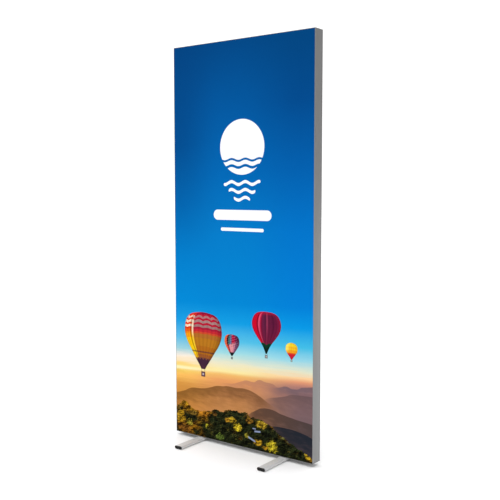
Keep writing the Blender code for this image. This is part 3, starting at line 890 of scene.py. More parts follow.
@dataclass(frozen=True)
class Surface:
    """A material in the making: its node tree, its shader and the piece's own coordinates."""

    material: bpy.types.Material
    tree: bpy.types.NodeTree
    shader: bpy.types.ShaderNode
    place: bpy.types.NodeSocket

    @classmethod
    def start(cls, name: str) -> "Surface":
        """A new material with nothing on it yet."""
        material = bpy.data.materials.new(name)
        material.use_nodes = True
        tree = material.node_tree
        place = tree.nodes.new("ShaderNodeTexCoord").outputs["Object"]
        return cls(material, tree, tree.nodes["Principled BSDF"], place)

    def noise(self, scale: float, detail: float = 3.0, grain: Grain = Grain.NONE) -> Field:
        """Noise in the piece's own coordinates.

        Args:
            scale: How many clouds there are to the metre.
            detail: How many finer layers it has.
            grain: Which way the clouds are drawn out.

        Returns:
            A number from about 0 to 1.
        """
        mapping = self.tree.nodes.new("ShaderNodeMapping")
        mapping.inputs["Scale"].default_value = grain.value
        wire(self.tree, self.place, mapping.inputs["Vector"])
        node = self.tree.nodes.new("ShaderNodeTexNoise")
        wire(self.tree, mapping.outputs[0], node.inputs["Vector"])
        node.inputs["Scale"].default_value = scale
        node.inputs["Detail"].default_value = detail
        return Field(self.tree, node.outputs["Fac"])

    def threads(self, direction: str, pitch: float) -> Field:
        """Waves across the surface.

        Args:
            direction: The axis across which the waves lie.
            pitch: The distance from wave to wave.

        Returns:
            A number from 0 to 1.
        """
        node = self.tree.nodes.new("ShaderNodeTexWave")
        node.bands_direction = direction
        wire(self.tree, self.place, node.inputs["Vector"])
        node.inputs["Scale"].default_value = 2 * pi / WAVES_TO_A_TURN / pitch
        return Field(self.tree, node.outputs["Fac"])

    def colours(self, pick: Field, low: Rgb, high: Rgb) -> Ink:
        """A colour between two, as light, picked by a number."""
        base = self.tree.nodes.new("ShaderNodeMix")
        base.data_type = "RGBA"
        wire(self.tree, pick, base.inputs[0])
        base.inputs[6].default_value, base.inputs[7].default_value = (*low, 1), (*high, 1)
        return Ink(self.tree, base.outputs[2])

    def dress(
        self, colour: Ink, roughness: Field, relief: Field, height: float, metal: float
    ) -> None:
        """Gives the shader its patterns.

        Args:
            colour: The base colour.
            roughness: The roughness.
            relief: The surface's relief, from 0 to 1.
            height: How high the relief is.
            metal: 1 for bare metal, 0 for the rest.
        """
        bump = self.tree.nodes.new("ShaderNodeBump")
        bump.inputs["Strength"].default_value = 1
        bump.inputs["Distance"].default_value = height
        wire(self.tree, relief, bump.inputs["Height"])
        wire(self.tree, bump.outputs[0], self.shader.inputs["Normal"])
        wire(self.tree, colour, self.shader.inputs["Base Color"])
        wire(self.tree, roughness, self.shader.inputs["Roughness"])
        self.shader.inputs["Metallic"].default_value = metal


@dataclass(frozen=True)
class AnodisedAluminium:
    """Satin anodised aluminium, with the fine lines that the die leaves along an extrusion."""

    name: str
    tone: float
    grain: Grain
    roughness: float = 0.36
    metal: float = 1.0

    def material(self) -> bpy.types.Material:
        """The finish as a material."""
        surface = Surface.start(self.name)
        lines = surface.noise(1500, 2, self.grain)
        cloud = surface.noise(9, 3)
        pick = lines * 0.6 + cloud * 0.4
        low, high = self.tone * 0.9, self.tone * 1.1
        colour = surface.colours(pick, (low, low, low * 0.995), (high, high * 1.002, high))
        roughness = lines * 0.1 + cloud * 0.08 + (self.roughness - 0.09)
        surface.dress(colour, roughness, lines, 0.006 * MM, self.metal)
        return surface.material


@dataclass(frozen=True)
class ZincPlate:
    """Bright zinc on steel, faintly mottled."""

    name: str
    tone: Rgb
    roughness: float

    def material(self) -> bpy.types.Material:
        """The finish as a material."""
        surface = Surface.start(self.name)
        mottle = surface.noise(420, 3)
        smear = surface.noise(60, 4)
        low = tuple(c * 0.8 for c in self.tone)
        colour = surface.colours(mottle * 0.5 + smear * 0.5, low, self.tone)
        roughness = mottle * 0.12 + smear * 0.12 + (self.roughness - 0.12)
        surface.dress(colour, roughness, mottle, 0.01 * MM, 1)
        return surface.material


@dataclass(frozen=True)
class TurnedBrass:
    """Machined brass with fine tool lines."""

    name: str = "turned_brass"

    def material(self) -> bpy.types.Material:
        """The finish as a material."""
        surface = Surface.start(self.name)
        lines = surface.threads("Z", 0.25 * MM)
        cloud = surface.noise(150, 3)
        colour = surface.colours(cloud, (0.5, 0.33, 0.12), (0.68, 0.49, 0.2))
        surface.dress(colour, cloud * 0.15 + 0.22, lines, 0.008 * MM, 1)
        return surface.material


@dataclass(frozen=True)
class MouldedPlastic:
    """Black plastic with a fine moulded grain."""

    name: str = "moulded_black_plastic"

    def material(self) -> bpy.types.Material:
        """The finish as a material."""
        surface = Surface.start(self.name)
        grain = surface.noise(2600, 2)
        cloud = surface.noise(40, 3)
        colour = surface.colours(cloud, (0.006, 0.006, 0.0065), (0.02, 0.02, 0.021))
        surface.dress(colour, cloud * 0.16 + grain * 0.1 + 0.4, grain, 0.02 * MM, 0)
        surface.shader.inputs["Specular IOR Level"].default_value = 0.2
        return surface.material


@dataclass(frozen=True)
class GreyRubber:
    """Dark rubber with a dusty bloom."""

    name: str = "dusty_rubber"

    def material(self) -> bpy.types.Material:
        """The finish as a material."""
        surface = Surface.start(self.name)
        grain = surface.noise(1400, 3)
        dust = surface.noise(90, 4)
        colour = surface.colours(dust.rise(0.35, 0.75), (0.022, 0.022, 0.022), (0.07, 0.068, 0.064))
        surface.dress(colour, dust * 0.15 + 0.72, grain, 0.03 * MM, 0)
        return surface.material


@dataclass(frozen=True)
class Silicone:
    """Milky silicone strip with drawn lines."""

    name: str = "milky_silicone"

    def material(self) -> bpy.types.Material:
        """The finish as a material."""
        surface = Surface.start(self.name)
        cloud = surface.noise(220, 3)
        colour = surface.colours(cloud, (0.58, 0.58, 0.56), (0.74, 0.74, 0.72))
        surface.shader.inputs["Subsurface Weight"].default_value = 0.2
        surface.shader.inputs["Subsurface Scale"].default_value = 1.5 * MM
        surface.dress(colour, cloud * 0.2 + 0.36, surface.noise(900, 2), 0.02 * MM, 0)
        return surface.material


@dataclass(frozen=True)
class KnittedFabric:
    """Stretched polyester knit, printed on its front and faintly seen through on its back."""

    picture: bpy.types.NodeTree
    pitch: float = 0.9 * MM
    printed_light: float = 0.88

    def printed(self) -> bpy.types.Material:
        """The front of the cloth."""
        return self._cloth("printed_fabric_front", front=True)

    def reverse(self) -> bpy.types.Material:
        """The back of the cloth."""
        return self._cloth("printed_fabric_back", front=False)

    def _cloth(self, name: str, front: bool) -> bpy.types.Material:
        """The knit with the print on it, darkened a little by painted shade along its ribs and in
        soft clouds.

        Args:
            name: The material's name.
            front: Whether the print is at full strength.

        Returns:
            The material.
        """
        surface = Surface.start(name)
        group = surface.tree.nodes.new("ShaderNodeGroup")
        group.node_tree = self.picture
        ribs = surface.threads("X", self.pitch) * surface.threads("Z", self.pitch * 0.8)
        slubs = surface.noise(700, 3)
        knit = ribs * 0.7 + slubs * 0.3
        drape_shade = surface.noise(3.5, 2)
        colour = Ink(surface.tree, group.outputs[0])
        if not front:
            cloth = surface.colours(slubs, (0.66, 0.67, 0.68), (0.76, 0.77, 0.77))
            colour = cloth.mixed("MULTIPLY", colour, 0.26)
        # Painted shade: the knit's ribs and soft clouds darken the print a little, round the even
        # printed_light level.
        light = knit * 0.06 + drape_shade * 0.04 + (self.printed_light - 0.05)
        colour = colour.times(light)
        surface.shader.inputs["Specular IOR Level"].default_value = 0.02
        surface.dress(colour, slubs * 0.16 + 0.7, knit, 0.012 * MM, 0)
        return surface.material


# Meshes


def rectangle(across: float, up: float) -> list[Point]:
    """A rectangle's corners, from half its width and half its height."""
    return [(-across, -up), (across, -up), (across, up), (-across, up)]


def outline_edges(
    shape: bmesh.types.BMesh, points: Sequence[Vector]
) -> list[bmesh.types.BMEdge]:
    """A closed line of edges through a few points."""
    corners = [shape.verts.new(point) for point in points]
    return [shape.edges.new((corners[i - 1], corners[i])) for i in range(len(corners))]


def rounded(
    shape: bmesh.types.BMesh, edges: Sequence[bmesh.types.BMEdge], radius: float, segments: int
) -> None:
    """Rounds some of a shape's edges, to a radius in so many faces."""
    bmesh.ops.bevel(
        shape, geom=edges, offset=radius, offset_type="OFFSET", segments=segments, profile=0.5,
        affect="EDGES", clamp_overlap=True, material=-1,
    )


def without_flat_edges(shape: bmesh.types.BMesh) -> None:
    """Joins the faces that lie in one plane."""
    bmesh.ops.dissolve_limit(
        shape, angle_limit=FLAT_UNDER, verts=shape.verts, edges=shape.edges, delimit=set()
    )


def moved(shape: bmesh.types.BMesh, place: Matrix) -> bmesh.types.BMesh:
    """The same shape, carried to a place."""
    bmesh.ops.transform(shape, matrix=place, verts=shape.verts)
    return shape


def drawn(
    outlines: Sequence[Sequence[Point]], length: float, rounds: Sequence[float | Sequence[float]]
) -> bmesh.types.BMesh:
    """A section drawn out along X, open at its ends, with its long edges rounded.

    Args:
        outlines: Closed outlines in Y and Z, the outer one first.
        length: The length, half on each side of X 0.
        rounds: The radius of each outline's long edges, or of each of its corners.

    Returns:
        The open shape.
    """
    shape = bmesh.new()
    for outline, given in zip(outlines, rounds, strict=True):
        radii = [given] * len(outline) if isinstance(given, float) else given
        edges = outline_edges(shape, [Vector((-length / 2, y, z)) for y, z in outline])
        made = bmesh.ops.extrude_edge_only(shape, edges=edges)["geom"]
        far = [g for g in made if isinstance(g, bmesh.types.BMVert)]
        bmesh.ops.translate(shape, vec=(length, 0, 0), verts=far)
        for radius in sorted(set(radii)):
            pairs = zip(outline, radii, strict=True)
            corners = [Vector(spot) for spot, each in pairs if each == radius]
            chosen = [
                e
                for e in shape.edges
                if len(e.link_faces) == 2
                and min((e.verts[0].co.yz - corner).length for corner in corners) < TINY
                and min((e.verts[1].co.yz - corner).length for corner in corners) < TINY
            ]
            rounded(shape, chosen, radius, 10 if radius > 2 * MM else 2)
    return shape


def close_ends(shape: bmesh.types.BMesh) -> None:
    """Fills the flat open ends of a drawn section, round its hollows."""
    for sign in (-1, 1):
        rim = [e for e in shape.edges if e.is_boundary and e.verts[0].co.x * sign > 0]
        bmesh.ops.triangle_fill(shape, use_beauty=True, use_dissolve=False, edges=rim)
    bmesh.ops.recalc_face_normals(shape, faces=shape.faces)


def eased_copy(node: str, radius: float) -> bmesh.types.BMesh:
    """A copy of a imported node, merged, with its edges rounded.

    Args:
        node: The node's name.
        radius: The radius of the rounding.

    Returns:
        The copy.
    """
    shape = bmesh.new()
    shape.from_mesh(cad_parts[node].data)
    bmesh.ops.remove_doubles(shape, verts=shape.verts, dist=MERGE)
    without_flat_edges(shape)
    sharp = [e for e in shape.edges if e.is_manifold and e.calc_face_angle(0) > SHARP_OVER]
    rounded(shape, sharp, radius, 2)
    return shape


class Form(Enum):
    """The outline of one ring of a turned piece."""

    ROUND = "round"
    HEXAGON = "hexagon"
    STAR = "star"


@dataclass(frozen=True)
class Ring:
    """One ring of a turned piece: its height, its radius, and its form."""

    height: float
    radius: float
    form: Form = Form.ROUND
    lobe: float = 0.0

    def reach(self, angle: float) -> float:
        """The ring's radius at an angle, which for a hexagon is that of its flats at 0."""
        if self.form is Form.HEXAGON:
            off_flat = (angle + pi / 6) % (pi / 3) - pi / 6
            return self.radius / cos(off_flat)
        return self.radius + self.lobe * (1 + cos(6 * angle)) / 2


def thread(start: float, length: float, pitch: float, radii: Point) -> list[Ring]:
    """The rings of a screw's thread.

    Args:
        start: The height at which it starts.
        length: The length that its turns have room in.
        pitch: The height of a turn.
        radii: The radius at the start and at the middle of a turn.

    Returns:
        The rings in turn.
    """
    return [
        Ring(start + turn * pitch + half * pitch / 2, radius)
        for turn in range(int(length / pitch))
        for half, radius in enumerate(radii)
    ]


def turned(rings: Sequence[Ring], sides: int) -> bmesh.types.BMesh:
    """A piece built ring by ring round Z.

    Args:
        rings: The rings in turn.
        sides: How many sides each ring has.

    Returns:
        The closed shape.
    """
    shape = bmesh.new()
    made = bmesh.ops.create_circle(shape, cap_ends=False, segments=sides, radius=1)["verts"]
    for vertex, i in zip(made, range(sides)):
        angle = 2 * pi * i / sides
        reach = rings[0].reach(angle)
        vertex.co = (reach * cos(angle), reach * sin(angle), rings[0].height)
    first = list({e for v in made for e in v.link_edges})
    loop = first
    for ring in rings[1:]:
        geom = bmesh.ops.extrude_edge_only(shape, edges=loop)["geom"]
        for vertex in (g for g in geom if isinstance(g, bmesh.types.BMVert)):
            flat = vertex.co.to_2d()
            angle = flat.angle_signed(Vector((1, 0)))
            reach = ring.reach(angle)
            vertex.co = (reach * cos(angle), reach * sin(angle), ring.height)
        loop = [g for g in geom if isinstance(g, bmesh.types.BMEdge) and g.is_boundary]
    for end in (first, loop):
        bmesh.ops.edgeloop_fill(shape, edges=end)
    bmesh.ops.recalc_face_normals(shape, faces=shape.faces)
    return shape


def with_cut(mesh: bpy.types.Mesh, tool: bmesh.types.BMesh, operation: str) -> bpy.types.Mesh:
    """A mesh with another shape cut from it or joined to it.

    Args:
        mesh: The mesh.
        tool: The other shape, which is used up.
        operation: The name of the Boolean.

    Returns:
        The new mesh.
    """
    other = bpy.data.meshes.new("tool")
    tool.to_mesh(other)
    tool.free()
    blank, cutter = bpy.data.objects.new("blank", mesh), bpy.data.objects.new("cutter", other)
    for each in (blank, cutter):
        bpy.context.scene.collection.objects.link(each)
    boolean = blank.modifiers.new("Cut", "BOOLEAN")
    boolean.operation, boolean.object, boolean.solver = operation, cutter, "EXACT"
    bpy.context.view_layer.update()
    graph = bpy.context.evaluated_depsgraph_get()
    made = bpy.data.meshes.new_from_object(blank.evaluated_get(graph))
    for each in (blank, cutter):
        bpy.data.objects.remove(each)
    return made


def drill(radius: float, low: float, high: float, x: float, y: float = 0.0) -> bmesh.types.BMesh:
    """An upright drill for a round hole."""
    shape = turned([Ring(low, radius), Ring(high, radius)], 32)
    bmesh.ops.translate(shape, vec=(x, y, 0), verts=shape.verts)
    return shape


def as_mesh(shape: bmesh.types.BMesh) -> bpy.types.Mesh:
    """The shape as a mesh of its own."""
    mesh = bpy.data.meshes.new("piece")
    shape.to_mesh(mesh)
    shape.free()
    return mesh


def show(
    mesh: bpy.types.Mesh | bmesh.types.BMesh,
    node: str,
    body: Body,
    slot: Slot,
    *finishes: bpy.types.Material,
) -> bpy.types.Object:
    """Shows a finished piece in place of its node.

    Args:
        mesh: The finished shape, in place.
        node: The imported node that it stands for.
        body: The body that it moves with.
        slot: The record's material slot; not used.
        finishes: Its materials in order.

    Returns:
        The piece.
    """
    if isinstance(mesh, bmesh.types.BMesh):
        mesh = as_mesh(mesh)
    mesh.name = f"{node}_finished"
    for finish in finishes:
        mesh.materials.append(finish)
    mesh.shade_smooth()
    mesh.set_sharp_from_angle(angle=SMOOTH_UNDER)
    piece = bpy.data.objects.new(mesh.name, mesh)
    bpy.context.scene.collection.objects.link(piece)
    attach(piece, body.value)
    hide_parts(node)
    LOG.info("%s: %d faces, rides on %s", piece.name, len(mesh.polygons), body.value)
    return piece


# Sub-assemblies


@dataclass
class RailFrame:
    """The four mitred lengths of extrusion, with the brackets, strips and screws inside them."""

    depth: float = 65 * MM
    inset: float = 25 * MM
    skin: float = 2 * MM
    groove: float = 3.4 * MM
    groove_depth: float = 15 * MM
    wall: float = 1.5 * MM
    wall_setback: float = 1.5 * MM
    slot_top: float = 23 * MM
    slot_bottom: float = 14 * MM
    slot_opening: float = 12 * MM
    trim_from_face: float = 10 * MM
    trim_width: float = 1.2 * MM
    trim_depth: float = 0.7 * MM
    edge: float = 0.25 * MM
    bolt_hole: float = 4.3 * MM
    corners: tuple[str, ...] = ("top_left", "top_right", "bottom_right", "bottom_left")
    lying: bpy.types.Material = field(init=False)
    standing: bpy.types.Material = field(init=False)
    plate: bpy.types.Material = field(init=False)
    fastener: bpy.types.Material = field(init=False)

    def __post_init__(self) -> None:
        """Makes the finishes."""
        lying = AnodisedAluminium("anodised_rail_lying", RAIL_TONE, Grain.ALONG_X, 0.36, 0.35)
        standing = AnodisedAluminium("anodised_rail_standing", RAIL_TONE, Grain.ALONG_Z, 0.36, 0.35)
        self.lying, self.standing = lying.material(), standing.material()
        self.plate = ZincPlate("zinc_plated_bracket", (0.5, 0.51, 0.52), 0.42).material()
        self.fastener = ZincPlate("zinc_plated_screw", (0.62, 0.62, 0.6), 0.3).material()

    def section(self) -> list[list[Point]]:
        """The extrusion's outline and its closed hollow, as Y and Z, with the outer face at Z 0."""
        wall_in = self.skin + self.groove
        web = self.groove_depth + self.wall
        lip = (self.depth - self.slot_opening) / 2
        trim = self.trim_width / 2
        front = [
            (self.trim_from_face + trim, 0), (self.trim_from_face, self.trim_depth),
            (self.trim_from_face - trim, 0), (0, 0), (0, self.skin), (self.groove_depth, self.skin),
            (self.groove_depth, wall_in), (self.wall_setback, wall_in),
            (self.wall_setback, wall_in + self.wall), (self.groove_depth, wall_in + self.wall),
            (self.groove_depth, self.inset), (lip, self.inset), (lip, self.slot_top),
            (web, self.slot_top), (web, self.slot_bottom),
        ]
        outline = front + [(self.depth - d, inset) for d, inset in reversed(front)]
        hollow_top = self.slot_bottom - self.wall
        hollow = [
            (web, self.skin), (self.depth - web, self.skin), (self.depth - web, hollow_top),
            (web, hollow_top),
        ]
        half = self.depth / 2
        return [[(d - half, -inset) for d, inset in points] for points in (outline, hollow)]

    def member(self, side: Side) -> bpy.types.Mesh:
        """One length of extrusion, mitred and in place.

        Args:
            side: The side of the frame.

        Returns:
            The mesh.
        """
        low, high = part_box(side.node)
        middle = (low + high) / 2
        length = (high - low).z if side.upright else (high - low).x
        length += GAP * sqrt(2)
        shape = drawn(self.section(), length, (self.edge, self.edge))
        for sign in (-1, 1):
            bmesh.ops.bisect_plane(
                shape, geom=[*shape.verts, *shape.edges, *shape.faces], dist=TINY,
                plane_co=(sign * (length / 2 - GAP / sqrt(2)), 0, 0),
                plane_no=Vector((sign, 0, -1)).normalized(), clear_outer=True,
            )
        close_ends(shape)
        outer = {
            Side.TOP: (middle.x, high.z), Side.BOTTOM: (middle.x, low.z),
            Side.LEFT: (low.x, middle.z), Side.RIGHT: (high.x, middle.z),
        }[side]
        place = Matrix.Translation((outer[0], middle.y, outer[1])) @ side.turning
        mesh = as_mesh(moved(shape, place))
        if side is Side.BOTTOM:
            slot_floor = low.z + (self.slot_bottom + self.slot_top) / 2
            for hand in Hand:
                bolt_low, bolt_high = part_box(f"foot_bolt_{hand.word}")
                x = (bolt_low.x + bolt_high.x) / 2
                hole = drill(self.bolt_hole, low.z - MM, slot_floor, x)
                mesh = with_cut(mesh, hole, "DIFFERENCE")
        return mesh

    def grub_screw(self, length: float) -> bmesh.types.BMesh:
        """A grub screw along +Z with its socket at the origin.

        Args:
            length: Its length.

        Returns:
            The screw.
        """
        radius, flats, pitch = 3 * MM, 1.5 * MM, 1.0 * MM
        rings = [
            Ring(3 * MM, flats * 0.6, Form.HEXAGON), Ring(2.9 * MM, flats, Form.HEXAGON),
            Ring(0.25 * MM, flats, Form.HEXAGON), Ring(0, 1.95 * MM), Ring(0, radius - 0.6 * MM),
        ]
        radii = (radius - 0.45 * MM, radius - 0.02 * MM)
        rings += thread(0.4 * MM, length - 1 * MM, pitch, radii)
        rings += [Ring(length - 0.5 * MM, radius - 0.5 * MM), Ring(length, radius - 1.1 * MM)]
        return turned(rings, 24)

    def add_grub_screw(self, node: str, side: Side) -> None:
        """Puts a grub screw where its node is.

        Args:
            node: The node's name.
            side: The side of the frame that it bears on.
        """
        low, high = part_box(node)
        outward = side.turning @ Vector((0, 0, 1))
        length = abs((high - low).dot(outward))
        seat = (low + high) / 2 - outward * length / 2
        shape = moved(self.grub_screw(length), Matrix.Translation(seat) @ side.turning)
        show(shape, node, Body.FRAME, Slot.FASTENER, self.fastener)

    def build(self) -> None:
        """Builds and shows the whole frame."""
        silicone = Silicone().material()
        for side in Side:
            finish = self.standing if side.upright else self.lying
            show(self.member(side), side.node, Body.FRAME, Slot.RAIL, finish)
            strip = f"edge_strip_{side.word}"
            show(eased_copy(strip, 0.4 * MM), strip, Body.FRAME, Slot.SILICONE, silicone)
        for corner in self.corners:
            bracket = f"{corner}_bracket"
            show(eased_copy(bracket, 0.35 * MM), bracket, Body.FRAME, Slot.BRACKET, self.plate)
            rail, upright = corner.split("_")
            for spot in ("near", "far"):
                self.add_grub_screw(f"{corner}_rail_screw_{spot}", Side[rail.upper()])
                self.add_grub_screw(f"{corner}_upright_screw_{spot}", Side[upright.upper()])


@dataclass
class Crossbar:
    """The tube between the uprights, with the anchors and screws that hold it."""

    rails: RailFrame
    wall: float = 1.5 * MM
    corner: float = 1.4 * MM
    screw_hole: float = 2.8 * MM

    def tube(self) -> bpy.types.Mesh:
        """The tube, rounded along its edges and drilled for its screws."""
        low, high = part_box("crossbar")
        size, middle = high - low, (low + high) / 2
        outlines = [
            rectangle(size.y / 2 - wall, size.z / 2 - wall) for wall in (0.0, self.wall)
        ]
        shape = drawn(outlines, size.x, (self.corner, self.corner / 3))
        close_ends(shape)
        bmesh.ops.translate(shape, vec=middle, verts=shape.verts)
        mesh = as_mesh(shape)
        for hand in Hand:
            head_low, head_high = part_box(f"crossbar_screw_{hand.word}")
            hole = drill(self.screw_hole, -8 * MM, 8 * MM, 0)
            seat = Vector(((head_low.x + head_high.x) / 2, high.y, middle.z))
            turn = Matrix.Rotation(radians(90), 4, "X")
            mesh = with_cut(mesh, moved(hole, Matrix.Translation(seat) @ turn), "DIFFERENCE")
        return mesh

    def button_screw(self, shank: float) -> bmesh.types.BMesh:
        """A button-head screw along -Z, the underside of its head at the origin.

        Args:
            shank: The length under the head.

        Returns:
            The screw.
        """
        radius, pitch = 2.5 * MM, 0.8 * MM
        rings = [Ring(-shank, radius - 0.9 * MM), Ring(-shank + 0.5 * MM, radius - 0.4 * MM)]
        radii = (radius - 0.02 * MM, radius - 0.4 * MM)
        rings += thread(-shank + 0.7 * MM, shank - 1 * MM, pitch, radii)
        rings += [
            Ring(0, radius - 0.02 * MM), Ring(0, 4.5 * MM), Ring(0.25 * MM, 4.75 * MM),
            Ring(0.9 * MM, 4.6 * MM), Ring(1.6 * MM, 4.1 * MM), Ring(2.2 * MM, 3.35 * MM),
            Ring(2.6 * MM, 2.5 * MM), Ring(2.75 * MM, 1.95 * MM),
            Ring(2.6 * MM, 1.5 * MM, Form.HEXAGON), Ring(1.3 * MM, 1.5 * MM, Form.HEXAGON),
            Ring(1.15 * MM, 0.8 * MM, Form.HEXAGON),
        ]
        return turned(rings, 36)

    def build(self) -> None:
        """Builds and shows the crossbar."""
        show(self.tube(), "crossbar", Body.FRAME, Slot.RAIL, self.rails.lying)
        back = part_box("crossbar")[1].y + GAP
        for hand in Hand:
            anchor = f"crossbar_anchor_{hand.word}"
            show(eased_copy(anchor, 0.3 * MM), anchor, Body.FRAME, Slot.BRACKET, self.rails.plate)
            for spot in ("upper", "lower"):
                self.rails.add_grub_screw(f"anchor_screw_{hand.word}_{spot}", Side[hand.name])
            node = f"crossbar_screw_{hand.word}"
            low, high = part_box(node)
            seat = Vector(((low.x + high.x) / 2, back, (low.z + high.z) / 2))
            turn = Matrix.Rotation(radians(-90), 4, "X")
            shape = moved(self.button_screw(back - low.y), Matrix.Translation(seat) @ turn)
            show(shape, node, Body.FRAME, Slot.FASTENER, self.rails.fastener)


@dataclass
class FabricFront:
    """The printed fabric, stretched over the front and turned in round the silicone strips."""

    node: str = "front_graphic"
    thickness: float = 0.35 * MM
    turn_in: float = 0.9 * MM
    steps: int = 4
    columns: int = 64
    rows: int = 150
    ripple: float = 0.12 * MM
    sag: float = 0.25 * MM

    def cloth(self, low: Vector, high: Vector) -> bmesh.types.BMesh:
        """The stretched sheet with its turned-in rim.

        Args:
            low: The low corner of the sheet's box.
            high: The high corner.

        Returns:
            The sheet, its front in material 0 and its back in material 1.
        """
        size, middle = high - low, (low + high) / 2
        shape = bmesh.new()
        flat_x, flat_z = size.x / 2 - self.turn_in, size.z / 2 - self.turn_in
        bmesh.ops.create_grid(shape, x_segments=self.columns, y_segments=self.rows, size=1)
        for vertex in shape.verts:
            x, z = vertex.co.x, vertex.co.y
            sag = (1 - x * x) * (1 - z * z)
            wave = sin(5 * x + 3 * z) * sin(7 * z - 2 * x) * self.ripple
            vertex.co = (x * flat_x, sag * self.sag + wave * sag, z * flat_z)
        rim = [e for e in shape.edges if e.is_boundary]
        for step in range(1, self.steps + 1):
            angle = pi / 2 * step / self.steps
            reach, back = self.turn_in * sin(angle), self.turn_in * (1 - cos(angle))
            geom = bmesh.ops.extrude_edge_only(shape, edges=rim)["geom"]
            for vertex in (g for g in geom if isinstance(g, bmesh.types.BMVert)):
                x, z = vertex.co.x, vertex.co.z
                if abs(x) > flat_x - MERGE:
                    x = (flat_x + reach) * (1 if x > 0 else -1)
                if abs(z) > flat_z - MERGE:
                    z = (flat_z + reach) * (1 if z > 0 else -1)
                vertex.co = (x, back, z)
            rim = [g for g in geom if isinstance(g, bmesh.types.BMEdge) and g.is_boundary]
        bmesh.ops.translate(shape, vec=(middle.x, low.y, middle.z), verts=shape.verts)
        bmesh.ops.recalc_face_normals(shape, faces=shape.faces)
        if sum(f.normal.y for f in shape.faces) > 0:
            bmesh.ops.reverse_faces(shape, faces=shape.faces)
        bmesh.ops.solidify(shape, geom=shape.faces[:], thickness=self.thickness)
        shape.normal_update()
        for face in shape.faces:
            face.material_index = int(face.normal.y > 0.2)
        return shape

    def build(self) -> None:
        """Builds and shows the fabric."""
        low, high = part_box(self.node)
        rail_low, rail_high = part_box("left_upright")[0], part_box("right_upright")[1]
        shape = self.cloth(low, high)
        finish = KnittedFabric(Picture(rail_low.x, rail_high.z).group())
        finishes = finish.printed(), finish.reverse()
        fabric = show(shape, self.node, Body.FRAME, Slot.FABRIC, *finishes)


